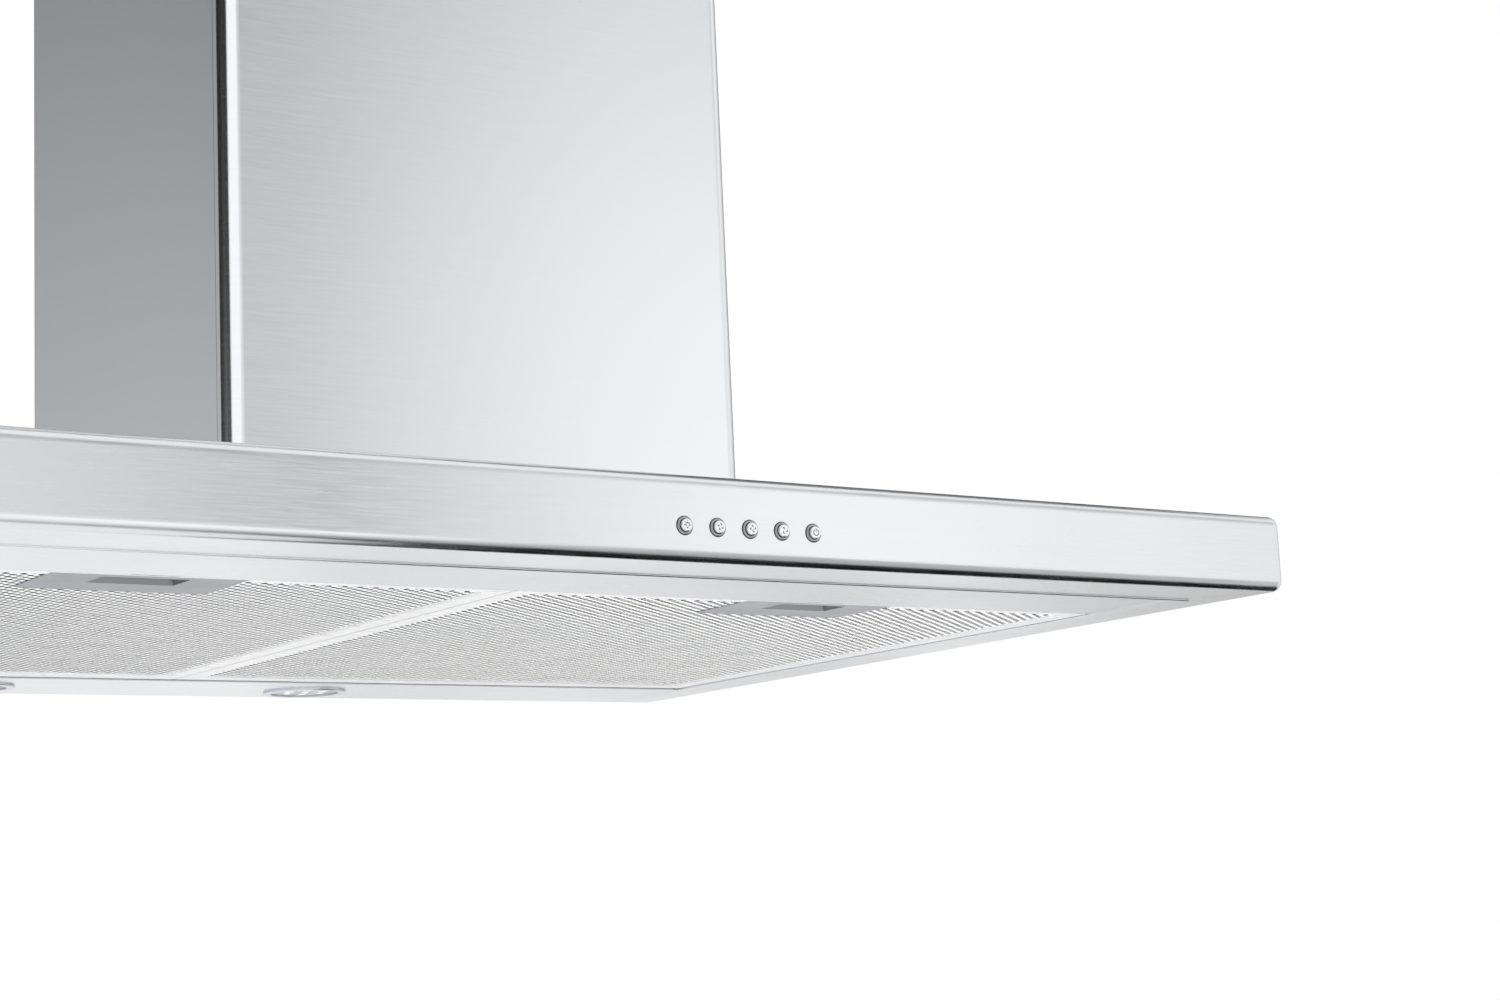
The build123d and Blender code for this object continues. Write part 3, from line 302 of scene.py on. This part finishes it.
def expanded_mesh(name, low, high, z, room_low, room_high, window_low, window_high):
    """A sheet of diamond mesh, cut out round the latch and bulging down into the window. Each
    diamond has four outer points, shared with its neighbours, and four round its hole."""
    columns = int((high[0] - low[0]) / DIAMOND_WIDE) + 2
    rows = int((high[1] - low[1]) / DIAMOND_DEEP) + 2
    centres = []
    for row in range(2 * rows):
        for column in range(columns):
            x = low[0] + (column + 0.5 * (row % 2)) * DIAMOND_WIDE
            centres.append((x, low[1] + 0.5 * row * DIAMOND_DEEP))
    centres = np.array(centres)
    half = np.array([DIAMOND_WIDE / 2, DIAMOND_DEEP / 2])
    corners = np.array([(1, 0), (0, 1), (-1, 0), (0, -1)], float)
    tilt = np.array([0.0, -STRAND_TILT, 0.0, STRAND_TILT])
    points = np.zeros((len(centres), 8, 3))
    for k in range(4):
        points[:, k, :2] = centres + corners[k] * half
        points[:, 4 + k, :2] = centres + corners[k] * half * HOLE_SHARE
        points[:, 4 + k, 2] = tilt[k]
    points = points.reshape(-1, 3)
    outside = np.any((points[:, :2] < low) | (points[:, :2] > high), axis=1)
    points[:, 0] = points[:, 0].clip(low[0], high[0])
    points[:, 1] = points[:, 1].clip(low[1], high[1])
    outside |= nearest_outside(points, room_low, room_high)
    across, along = points[:, 0] * SWELL_WAVES[0], points[:, 1] * SWELL_WAVES[1] + SWELL_START
    swell = SWELL * np.sin(across) * np.sin(along)
    inward = np.minimum(points[:, :2] - window_low, window_high - points[:, :2]).min(axis=1)
    dip = MESH_DIP * (inward / MESH_DIP_RUN).clip(0, 1)
    points[:, 2] += z + STRAND_TILT + SWELL + swell - dip
    faces = []
    for cell in range(len(centres)):
        first = 8 * cell
        for k in range(4):
            following = (k + 1) % 4
            face = (first + following, first + k, first + 4 + k, first + 4 + following)
            if not all(outside[i] for i in face):
                faces.append(face)
    sheet = new_piece(name, points.tolist(), faces)
    sheet.data.validate()
    weld = sheet.modifiers.new("weld", "WELD")
    weld.merge_threshold = WELD_REACH
    thick = sheet.modifiers.new("thickness", "SOLIDIFY")
    thick.thickness = STRAND_SHEET
    thick.offset = -1.0
    return sheet


def window_hem(name, low, high, gap_low, gap_high, z_low, z_high):
    """The frame's edge folded up round its window, from one side of the latch to the other. Its
    bend lists shares of the hem's width, with how far the hem has risen there."""
    left, right = low[0] + WINDOW_CORNER, high[0] - WINDOW_CORNER
    front, rear = low[1] + WINDOW_CORNER, high[1] - WINDOW_CORNER
    corners = ((right, front, -90), (right, rear, 0), (left, rear, 90), (left, front, 180))
    loops = []
    bend = [(share, z_low + rise) for share, rise in WINDOW_HEM_BEND] + [(1.0, z_high)]
    for share, z in bend:
        inset = share * WINDOW_HEM
        r = WINDOW_CORNER - inset
        line = [(gap_high, low[1] + inset, z)]
        for cx, cy, start in corners:
            for step in range(CORNER_STEPS + 1):
                angle = math.radians(start + 90 * step / CORNER_STEPS)
                line.append((cx + r * math.cos(angle), cy + r * math.sin(angle), z))
        line.append((gap_low, low[1] + inset, z))
        loops.append(line)
    count = len(loops[0])
    points = [point for line in loops for point in line]
    faces = []
    for row in range(len(loops) - 1):
        for i in range(count - 1):
            a = row * count + i
            faces.append((a, a + count, a + count + 1, a + 1))
    hem = new_piece(name, points, faces)
    for face in hem.data.polygons:
        face.use_smooth = True
    thick = hem.modifiers.new("thickness", "SOLIDIFY")
    thick.thickness = WINDOW_HEM_SHEET
    thick.offset = 0.0
    return hem


frame_metal = aluminium("filter_frame_aluminium", (0.79, 0.79, 0.80), 0.30, 0.04, 70, 0.06, metallic=0.4)
mesh_metal = aluminium("filter_mesh_aluminium", (0.97, 0.97, 0.97), 0.30, 0.06, 400, 0.1, metallic=0.2)
# The core and the back mesh are coloured near black: painted shade that stands in for the dark inside of
# the filter pack behind the face mesh.
core_painted_shade = aluminium("filter_core_painted_shade", (0.12, 0.12, 0.125), 0.7, 0.1, 500, 0.6, metallic=0.2)

for side in ("left", "right"):
    frame_low, frame_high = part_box("filter_frame_" + side)
    mesh_low, mesh_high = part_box("filter_face_mesh_" + side)
    latch_low, latch_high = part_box("latch_body_" + side)
    finish_node("filter_frame_" + side, frame_metal)
    finish_node("filter_core_" + side, core_painted_shade)
    finish_node("filter_back_mesh_" + side, core_painted_shade)
    window_low = (frame_low.x + WINDOW_SIDE, frame_low.y + WINDOW_FRONT)
    window_high = (frame_high.x - WINDOW_SIDE, mesh_high.y + MESH_WALL - WINDOW_REAR)
    room_low = (latch_low.x - LATCH_FIT, latch_low.y - LATCH_AHEAD)
    room_high = (latch_high.x + LATCH_FIT, latch_high.y + LATCH_FIT)
    sheet = expanded_mesh(
        "face_mesh_" + side,
        (mesh_low.x + MESH_HEM, mesh_low.y + MESH_HEM), (mesh_high.x - MESH_HEM, mesh_high.y - MESH_HEM),
        mesh_low.z, room_low, room_high, window_low, window_high)
    sheet.data.materials.append(mesh_metal)
    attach(sheet, "filter_" + side)
    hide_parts("filter_face_mesh_" + side)
    hem = window_hem(
        "window_hem_" + side, window_low, window_high, room_low[0], room_high[0],
        frame_low.z + WINDOW_HEM_SET_IN, mesh_low.z + WINDOW_HEM_TOP)
    hem.data.materials.append(frame_metal)
    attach(hem, "filter_" + side)


# ---- Filter latches ----------------------------------------------------
# A moulded grey latch is riveted into the front of each filter. A spring pushes its slide
# forward into the rail; a finger in the recess pulls it back to drop the filter.

CLOUD_SHADES = (0.92, 1.04)


def moulded_plastic(name, tint, shine, grain, depth, spread=0.05, specular=0.5):
    """Moulded plastic with a spark-eroded grain, grain in spots per metre."""
    material, tree, shader = node_tree(name)
    texture = streaks(tree, (grain, grain, grain), detail=3.0)
    clouds = streaks(tree, (25, 25, 25), detail=2.0)
    dark, light = ([min(1, c * shade) for c in tint] for shade in CLOUD_SHADES)
    colour_between(tree, shader, ramp(tree, clouds, 0, 1), dark, light)
    tree.links.new(ramp(tree, texture, shine - spread, shine + spread), shader.inputs["Roughness"])
    raise_grain(tree, shader, texture, depth, GRAIN_RELIEF)
    shader.inputs["Specular IOR Level"].default_value = specular
    return material


latch_grey = moulded_plastic("latch_grey_plastic", (0.30, 0.305, 0.32), 0.6, 2500, 0.25, specular=0.15)
slide_grey = moulded_plastic("latch_slide_plastic", (0.19, 0.195, 0.21), 0.5, 2500, 0.25, specular=0.15)
spring_wire = aluminium("bright_spring_wire", (0.60, 0.60, 0.61), 0.28, 0.05, 900, 0.1)
for side in ("left", "right"):
    finish_node("latch_body_" + side, latch_grey)
    finish_node("latch_slide_" + side, slide_grey)
    finish_node("latch_spring_" + side, spring_wire)


# ---- Lamps -------------------------------------------------------------
# Two round LED lamps are pressed up into the rear panel. Each has a satin ring, a frosted
# lens with seven small white domes on its face as painted light points, a white board and a cast can.

FROST_RELIEF = 0.04 * MM
ring_metal = brushed_steel("satin_lamp_ring", (0.68, 0.68, 0.74), 0.24, 0.04, fine=2200.0, anisotropy=0.2)
can_metal = aluminium("cast_lamp_can", (0.62, 0.62, 0.63), 0.5, 0.1, 700, 0.5)


def frosted_glass(name):
    material, tree, shader = node_tree(name)
    frost = streaks(tree, (1800, 1800, 1800), detail=2.0)
    tree.links.new(ramp(tree, frost, 0.22, 0.36), shader.inputs["Roughness"])
    raise_grain(tree, shader, frost, 0.15, FROST_RELIEF)
    shader.inputs["Base Color"].default_value = (0.84, 0.85, 0.90, 1)
    shader.inputs["Transmission Weight"].default_value = 0.75
    shader.inputs["IOR"].default_value = 1.46
    return material


lens_glass = frosted_glass("frosted_lamp_lens")
board_white = moulded_plastic("white_lamp_board", (0.86, 0.86, 0.84), 0.35, 900, 0.1)
for side in ("left", "right"):
    finish_node("lamp_bezel_" + side, ring_metal)
    finish_node("lamp_lens_" + side, lens_glass)
    finish_node("lamp_led_board_" + side, board_white)
    finish_node("lamp_housing_" + side, can_metal)

DIMPLE_R = 3.4 * MM
DIMPLE_RISE = 0.5 * MM
DIMPLE_CIRCLE = 13.5 * MM
DIMPLE_TURN = 12


def domes(name, centres, radius, rise, steps=16, rings=4):
    """Low domes hanging from the given centres."""
    points, faces = [], []
    for cx, cy, cz in centres:
        first = len(points)
        for ring in range(rings):
            lean = math.pi / 2 * ring / rings
            for step in range(steps):
                angle = 2 * math.pi * step / steps
                points.append((cx + radius * math.cos(lean) * math.cos(angle),
                               cy + radius * math.cos(lean) * math.sin(angle),
                               cz - rise * math.sin(lean)))
        points.append((cx, cy, cz - rise))
        for ring in range(rings - 1):
            for step in range(steps):
                a, b = first + ring * steps + step, first + ring * steps + (step + 1) % steps
                faces.append((a, a + steps, b + steps, b))
        for step in range(steps):
            last = first + (rings - 1) * steps
            faces.append((last + step, len(points) - 1, last + (step + 1) % steps))
        faces.append(tuple(first + step for step in range(steps)))
    piece = new_piece(name, points, faces)
    for face in piece.data.polygons:
        face.use_smooth = len(face.vertices) < 5
    return piece


# The dimples are opaque near-white plastic: painted light that stands in for the LED points seen through
# the lens.
lens_painted_light_points = moulded_plastic("lens_dimple_painted_light", (0.97, 0.98, 1.0), 0.08, 900, 0.02, spread=0.02)
for side in ("left", "right"):
    lens_low, lens_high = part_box("lamp_lens_" + side)
    middle = (lens_low + lens_high) / 2
    centres = [(middle.x, middle.y, lens_low.z)]
    for k in range(6):
        angle = math.radians(60 * k + DIMPLE_TURN)
        centres.append((middle.x + DIMPLE_CIRCLE * math.cos(angle),
                        middle.y + DIMPLE_CIRCLE * math.sin(angle), lens_low.z))
    dimples = domes("lens_dimples_" + side, centres, DIMPLE_R, DIMPLE_RISE)
    dimples.data.materials.append(lens_painted_light_points)
    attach(dimples, "hood")


# ---- Push buttons ------------------------------------------------------
# Five turned metal buttons in pressed rings: light, three fan speeds and power. Each cap
# has its sign engraved and filled dark.

turned = {"fine": 3000.0, "anisotropy": 0.2}
button_metal = brushed_steel("turned_button_metal", (0.90, 0.90, 0.91), 0.20, 0.04, **turned)
button_ring_metal = brushed_steel("pressed_button_ring", (0.36, 0.36, 0.40), 0.18, 0.04, **turned)
buttons = ("light_button", "fan_low_button", "fan_medium_button", "fan_high_button", "power_button")
for button in buttons:
    finish_node(button, button_metal)
finish_node("button_rings", button_ring_metal)

RING_R = 4.65 * MM
# Width and thickness of the thin black ring of painted shadow round each button ring.
SEAT_SHADOW_WIDTH = 0.38 * MM
SEAT_SHADOW_THICK = 0.15 * MM
SIGN_R = 1.9 * MM
SIGN_THICK = 0.03 * MM
SIGN_STROKE = 0.45 * MM


def arc_band(radius, width, start, end, steps=24):
    """A flat band along an arc, as (x, z) outlines of its short pieces; angles in degrees."""
    bands = []
    for step in range(steps):
        a0 = math.radians(start + (end - start) * step / steps)
        a1 = math.radians(start + (end - start) * (step + 1) / steps)
        inner, outer = radius - width / 2, radius + width / 2
        bands.append([(r * math.cos(a), r * math.sin(a))
                      for r, a in ((inner, a0), (outer, a0), (outer, a1), (inner, a1))])
    return bands


def spoke(angle, start, end, width):
    """A short bar that points outwards."""
    a = math.radians(angle)
    along, across = (math.cos(a), math.sin(a)), (-math.sin(a), math.cos(a))
    return [(along[0] * r + across[0] * w, along[1] * r + across[1] * w)
            for r, w in ((start, -width / 2), (end, -width / 2), (end, width / 2), (start, width / 2))]


def fan_blade(angle):
    """One curved blade of the fan sign."""
    outline = []
    for share in (0.0, 0.35, 0.7, 1.0):
        a = math.radians(angle + 42 * share)
        r = SIGN_R * (0.25 + 0.75 * share)
        outline.append((r * math.cos(a), r * math.sin(a)))
    for share in (1.0, 0.6, 0.25):
        a = math.radians(angle + 42 * share + 44 * share)
        r = SIGN_R * (0.25 + 0.68 * share)
        outline.append((r * math.cos(a), r * math.sin(a)))
    return outline


def upright_plates(name, outlines, centre, thickness):
    """Thin plates standing on a face that looks to the front, one for each (x, z) outline."""
    points, faces = [], []
    for outline in outlines:
        first, count = len(points), len(outline)
        for y in (centre[1] - thickness, centre[1]):
            points += [(centre[0] + x, y, centre[2] + z) for x, z in outline]
        faces.append(tuple(first + k for k in range(count)))
        faces.append(tuple(first + count + k for k in reversed(range(count))))
        for k in range(count):
            n = (k + 1) % count
            faces.append((first + n, first + k, first + count + k, first + count + n))
    return new_piece(name, points, faces)


sign_ink = moulded_plastic("engraved_sign_fill", (0.04, 0.04, 0.05), 0.8, 2000, 0.1, specular=0.1)
# A thin black ring stands round each button ring: painted shadow along the ring's outer edge.
seat_shadow_black = moulded_plastic("button_seat_painted_shadow", (0.05, 0.05, 0.06), 0.6, 2000, 0.1)
bulb_sign = arc_band(0.55 * SIGN_R, 0.42 * MM, -50, 230)
bulb_sign += [spoke(270, 0.6 * SIGN_R, 1.0 * SIGN_R, 0.7 * MM)]
bulb_sign += [spoke(angle, 0.8 * SIGN_R, 1.1 * SIGN_R, 0.38 * MM) for angle in range(0, 181, 45)]
power_sign = arc_band(0.85 * SIGN_R, SIGN_STROKE, -240, 60)
power_sign += [spoke(90, 0.2 * SIGN_R, 1.15 * SIGN_R, SIGN_STROKE)]
signs = {
    "light_button": bulb_sign,
    "fan_low_button": [fan_blade(angle) for angle in range(20, 380, 90)],
    "fan_medium_button": [fan_blade(angle) for angle in range(50, 410, 90)],
    "fan_high_button": [fan_blade(angle) for angle in range(65, 425, 120)],
    "power_button": power_sign,
}
for button, outlines in signs.items():
    cap_low, cap_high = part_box(button)
    centre = ((cap_low.x + cap_high.x) / 2, cap_low.y, (cap_low.z + cap_high.z) / 2)
    sign = upright_plates(button + "_sign", outlines, centre, SIGN_THICK)
    sign.data.materials.append(sign_ink)
    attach(sign, button)
    # The black ring of painted shadow that outlines the button ring.
    ring = arc_band(RING_R + SEAT_SHADOW_WIDTH / 2, SEAT_SHADOW_WIDTH, 0, 360, 48)
    seat_shadow = upright_plates(button + "_seat_shadow", ring, (centre[0], shell_low.y, centre[2]), SEAT_SHADOW_THICK)
    seat_shadow.data.materials.append(seat_shadow_black)
    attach(seat_shadow, "hood")


# ---- Switches and control box ------------------------------------------
# Behind the buttons a black housing guides their stems on to a row of small switches, and
# the control board sits in its own box under the canopy's top.

black_plastic = moulded_plastic("black_housing_plastic", (0.035, 0.035, 0.037), 0.45, 1800, 0.3)
board_green = moulded_plastic("green_circuit_board", (0.02, 0.16, 0.07), 0.35, 1200, 0.2)
for node in ("switch_housing", "control_box", "control_lid", "junction_box", "cable_gland"):
    finish_node(node, black_plastic)
for node in ("switch_board", "control_board"):
    finish_node(node, board_green)


# ---- Blower ------------------------------------------------------------
# A double-inlet wheel turns in a moulded scroll inside a galvanised box. The motor sits in
# the right inlet on a three-armed bracket, with its capacitor on the box.

SPANGLE = 130
SPANGLE_SPREAD = 0.08
SPANGLE_SHADE = 0.82


def galvanised(name, tint, shine):
    """Zinc-coated sheet with its soft spangle, SPANGLE flakes per metre."""
    material, tree, shader = node_tree(name)
    place = add_node(tree, "ShaderNodeTexCoord")
    cells = add_node(tree, "ShaderNodeTexVoronoi")
    cells.inputs["Scale"].default_value = SPANGLE
    tree.links.new(place.outputs["Object"], cells.inputs["Vector"])
    split = add_node(tree, "ShaderNodeSeparateColor")
    tree.links.new(cells.outputs["Color"], split.inputs[0])
    colour_between(tree, shader, split.outputs[0], [c * SPANGLE_SHADE for c in tint], tint)
    rough = ramp(tree, split.outputs[1], shine - SPANGLE_SPREAD, shine + SPANGLE_SPREAD, 0, 1)
    tree.links.new(rough, shader.inputs["Roughness"])
    shader.inputs["Metallic"].default_value = 1.0
    return material


zinc_sheet = galvanised("galvanised_sheet", (0.66, 0.67, 0.68), 0.42)
zinc_screw = galvanised("zinc_plated_fastener", (0.72, 0.72, 0.72), 0.3)
blower_black = moulded_plastic("blower_dark_plastic", (0.06, 0.06, 0.065), 0.5, 1500, 0.35)
motor_paint = moulded_plastic("motor_grey_paint", (0.13, 0.135, 0.145), 0.35, 700, 0.2)
capacitor_white = moulded_plastic("capacitor_white_plastic", (0.80, 0.80, 0.78), 0.3, 900, 0.1)
for node in ("scroll_half_left", "scroll_half_right", "impeller", "outlet_collar",
             "damper_flap_front", "damper_flap_rear"):
    finish_node(node, blower_black)
finish_node("motor", motor_paint)
finish_node("capacitor", capacitor_white)
for node in ("motor_bracket", "air_box", "cover_feet", "lower_frame", "upper_frame", "ceiling_plate"):
    finish_node(node, zinc_sheet)
for node in ("damper_pin", "self_tapping_screws", "frame_bolts", "plate_screws"):
    finish_node(node, zinc_screw)


# ---- Chimney covers ----------------------------------------------------
# Two pairs of folded brushed covers hide the frame and the duct. The upper pair slides
# inside the lower pair to suit the height of the room.

chimney_steel = brushed_steel("brushed_chimney_steel", (0.875, 0.885, 0.90), 0.22, 0.02,
                              contrast=0.5, depth=0.1)
for node in ("lower_cover_front", "lower_cover_rear", "upper_cover_front", "upper_cover_rear"):
    finish_node(node, chimney_steel)


# ---- Studio ------------------------------------------------------------
# A white studio: a wide pale floor under the hood, a white surround, soft lamps, and grey
# and black cards that give the steel its soft gradients.

HOOD_BASE = cad_low.z
FLOOR_DROP = 5.5
FLOOR_SIZE = 60.0
FLOOR_SHADE = 0.82
FLOOR_LIFT = 0.52
WORLD_LIGHT = 0.55
LAMP_AIM = (0, 0, -0.8)
CARD_LEVEL = -0.75
CARD_STEPS = 24
STOP_HEADROOM = 1.1
LOW_CARD_DROP = 1.58
HIGH_CARD_HEIGHT = 1.2
CARD_BLACK = 0.004


def plain_sheet(name, width, depth):
    w, d = width / 2, depth / 2
    sheet = new_piece(name, [(-w, -d, 0), (w, -d, 0), (w, d, 0), (-w, d, 0)], [(0, 1, 2, 3)])
    return sheet


def any_ray(tree, *kinds):
    """1 for rays of the given kinds, such as those seen, mirrored or through glass."""
    path = add_node(tree, "ShaderNodeLightPath")
    found = path.outputs[kinds[0]]
    for kind in kinds[1:]:
        either = add_node(tree, "ShaderNodeMath", operation="MAXIMUM")
        tree.links.new(found, either.inputs[0])
        tree.links.new(path.outputs[kind], either.inputs[1])
        found = either.outputs[0]
    return found


floor = plain_sheet("floor", FLOOR_SIZE, FLOOR_SIZE)
floor.location = (0, 0, HOOD_BASE - FLOOR_DROP)
floor_white, tree, shader = node_tree("floor_white")
tree.nodes.remove(shader)
matt = add_node(tree, "ShaderNodeBsdfDiffuse")
matt.inputs["Color"].default_value = (FLOOR_SHADE, FLOOR_SHADE, FLOOR_SHADE, 1)
lift = add_node(tree, "ShaderNodeEmission")
tree.links.new(ramp(tree, any_ray(tree, "Is Camera Ray"), 0, FLOOR_LIFT, 0, 1), lift.inputs["Strength"])
lifted = add_node(tree, "ShaderNodeAddShader")
tree.links.new(matt.outputs[0], lifted.inputs[0])
tree.links.new(lift.outputs[0], lifted.inputs[1])
glow = add_node(tree, "ShaderNodeEmission")
mixer = add_node(tree, "ShaderNodeMixShader")
tree.links.new(any_ray(tree, "Is Glossy Ray", "Is Transmission Ray"), mixer.inputs[0])
tree.links.new(lifted.outputs[0], mixer.inputs[1])
tree.links.new(glow.outputs[0], mixer.inputs[2])
tree.links.new(mixer.outputs[0], tree.nodes["Material Output"].inputs["Surface"])
floor.data.materials.append(floor_white)

world = bpy.data.worlds.new("white_studio")
bpy.context.scene.world = world
world.use_nodes = True
tree = world.node_tree
background = tree.nodes["Background"]
background.inputs["Color"].default_value = (1, 1, 1, 1)
unlit = any_ray(tree, "Is Camera Ray", "Is Glossy Ray", "Is Transmission Ray")
tree.links.new(ramp(tree, unlit, WORLD_LIGHT, 1.0, 0, 1), background.inputs["Strength"])


def glowing_card(sheet):
    """Makes a sheet a reflector that only mirrored rays see; returns its nodes and its glow."""
    material, tree, shader = node_tree(sheet.name)
    tree.nodes.remove(shader)
    glow = add_node(tree, "ShaderNodeEmission")
    tree.links.new(glow.outputs[0], tree.nodes["Material Output"].inputs["Surface"])
    sheet.data.materials.append(material)
    sheet.visible_camera = False
    sheet.visible_diffuse = False
    sheet.visible_transmission = False
    sheet.visible_shadow = False
    return tree, glow


def place_along(tree, kind):
    """The parts of a point's place on its sheet, each from 0 to 1."""
    place = add_node(tree, "ShaderNodeTexCoord")
    split = add_node(tree, "ShaderNodeSeparateXYZ")
    tree.links.new(place.outputs[kind], split.inputs[0])
    return split.outputs


def round_card(name, rise, shades, fade=(1.0, 1.0), band=(0.0, 1.0), distance=4.0, hue=(1, 1, 1)):
    """A curved reflector standing round the hood, between two rises in degrees above CARD_LEVEL.
    shades lists (turn, brightness) along it; turn 0 is straight in front and grows to the right,
    in degrees. fade scales the brightness below and above a band given as shares of its height."""
    turn = (shades[0][0], shades[-1][0])
    points, faces, corners = [], [], []
    for i in range(CARD_STEPS + 1):
        share = i / CARD_STEPS
        angle = math.radians(turn[0] + (turn[1] - turn[0]) * share)
        for level in (0, 1):
            height = distance * math.tan(math.radians(rise[level]))
            points.append((distance * math.sin(angle), -distance * math.cos(angle), CARD_LEVEL + height))
            corners.append((share, level))
        if i:
            faces.append((2 * i - 2, 2 * i, 2 * i + 1, 2 * i - 1))
    sheet = new_piece(name, points, faces)
    layer = sheet.data.uv_layers.new(name="turn_and_rise")
    for loop in sheet.data.loops:
        layer.data[loop.index].uv = corners[loop.vertex_index]
    tree, glow = glowing_card(sheet)
    along = place_along(tree, "UV")
    profile = add_node(tree, "ShaderNodeValToRGB")
    profile.color_ramp.interpolation = "CARDINAL"
    stops = profile.color_ramp.elements
    while len(stops) < len(shades):
        stops.new(0.5)
    # A ramp stops at 1, so it holds shares of the peak and the glow's strength makes it up.
    peak = STOP_HEADROOM * max(shade for angle, shade in shades)
    for stop, (angle, shade) in zip(stops, shades):
        stop.position = (angle - turn[0]) / (turn[1] - turn[0])
        stop.color = [shade / peak * c for c in hue] + [1]
    tree.links.new(along["X"], profile.inputs[0])
    tree.links.new(profile.outputs["Color"], glow.inputs["Color"])
    strength = ramp(tree, along["Y"], fade[0] * peak, fade[1] * peak, *band)
    tree.links.new(strength, glow.inputs["Strength"])


def flat_card(name, low, high, height, shades):
    """A level reflector between two corners, with its brightness at the front and at the back."""
    sheet = plain_sheet(name, high[0] - low[0], high[1] - low[1])
    sheet.location = ((low[0] + high[0]) / 2, (low[1] + high[1]) / 2, height)
    tree, glow = glowing_card(sheet)
    across = place_along(tree, "Generated")
    tree.links.new(ramp(tree, across["Y"], *shades, 0, 1), glow.inputs["Strength"])


round_card("front_gradient_card", (-9, 40),
           ((5, 0.83), (15, 0.80), (19, 0.66), (20.7, 0.52), (22.2, 0.52), (23.2, 0.60), (24.5, 0.77),
            (25.5, 0.84), (27.5, 0.88), (29.5, 0.93), (31.5, 1.05), (36, 1.07), (42, 1.02), (47, 0.92),
            (60, 0.85)),
           fade=(1.04, 0.64), band=(0.40, 0.66))
round_card("front_low_card", (-62, -9),
           ((10, 1.25), (22, 1.25), (27, 0.9), (32, 0.62), (50, 0.6), (64, 0.8)),
           fade=(0.35, 1.0), distance=3.0)
round_card("left_grey_card", (-12, 34), ((-185, 0.62), (-167, 0.74), (-157, 1.02), (-145, 1.1)),
           fade=(0.80, 0.12), hue=(0.97, 1.0, 1.01))
round_card("left_black_card", (-6, 52),
           ((-145, 0.012), (-120, 0.014), (-90, 0.028), (-75, 0.016), (-60, 0.012)),
           fade=(30.0, 1.0), band=(0.05, 0.18), distance=3.8)
round_card("corner_white_card", (-4, 45), ((-54, 1.1), (2, 1.1)), distance=3.8)
round_card("right_black_card", (2, 50),
           ((100, 0.02), (125, 0.05), (133, 0.5), (142, 0.05), (168, 0.02)), distance=3.8)
round_card("back_grey_card", (-22, -1),
           ((112, 0.52), (124, 0.56), (130, 0.70), (135, 0.88), (139, 0.78), (143, 0.86), (147, 0.92),
            (151, 0.88), (154, 0.88), (157, 1.02), (160, 1.0), (184, 1.0)), distance=3.6)
round_card("right_grey_card", (-40, 42), ((62, 0.95), (86, 0.86), (94, 0.66), (114, 0.58)),
           distance=3.6)
flat_card("floor_black_card", (0.62, -1.1), (2.8, 1.4), HOOD_BASE - LOW_CARD_DROP,
          (CARD_BLACK, CARD_BLACK))
flat_card("roof_dark_card", (0.2, -0.25), (2.4, 2.6), HIGH_CARD_HEIGHT, (0.25, CARD_BLACK))


def soft_lamp(name, place, target, width, height, power):
    data = bpy.data.lights.new(name, "AREA")
    data.shape = "RECTANGLE"
    data.size, data.size_y = width, height
    data.energy = power
    lamp = bpy.data.objects.new(name, data)
    bpy.context.scene.collection.objects.link(lamp)
    lamp.location = place
    lamp.rotation_mode = "QUATERNION"
    lamp.rotation_quaternion = (Vector(target) - Vector(place)).to_track_quat("-Z", "Y")
    lamp.visible_glossy = False
    lamp.visible_camera = False
    return lamp


soft_lamp("front_softbox", (-1.8, -3.0, 0.4), LAMP_AIM, 2.0, 1.6, 60)
soft_lamp("under_softbox", (0.3, -0.8, -2.2), LAMP_AIM, 2.0, 2.0, 40)

CAMERA_PLACE = (-0.7100, -1.3862, -1.0148)
CAMERA_YAW = 35.14
CAMERA_PITCH = 9.207
CAMERA_ROLL = -2.583
CAMERA_LENS = 63.86
SENSOR_WIDTH = 36.0
camera_data = bpy.data.cameras.new("camera")
camera = bpy.data.objects.new("camera", camera_data)
bpy.context.scene.collection.objects.link(camera)
bpy.context.scene.camera = camera
camera_data.sensor_width = SENSOR_WIDTH
camera_data.lens = CAMERA_LENS
camera_data.clip_start = 0.05
camera_data.clip_end = 100.0
yaw, pitch, roll = (math.radians(angle) for angle in (CAMERA_YAW, CAMERA_PITCH, CAMERA_ROLL))
forward = Vector((math.sin(yaw) * math.cos(pitch), math.cos(yaw) * math.cos(pitch), math.sin(pitch)))
right = Vector((math.cos(yaw), -math.sin(yaw), 0))
up = right.cross(forward)
tilted_right = right * math.cos(roll) + up * math.sin(roll)
tilted_up = up * math.cos(roll) - right * math.sin(roll)
camera.location = CAMERA_PLACE
camera.rotation_mode = "QUATERNION"
camera.rotation_quaternion = Matrix((tilted_right, tilted_up, -forward)).transposed().to_quaternion()

bpy.context.scene.view_settings.view_transform = "Standard"
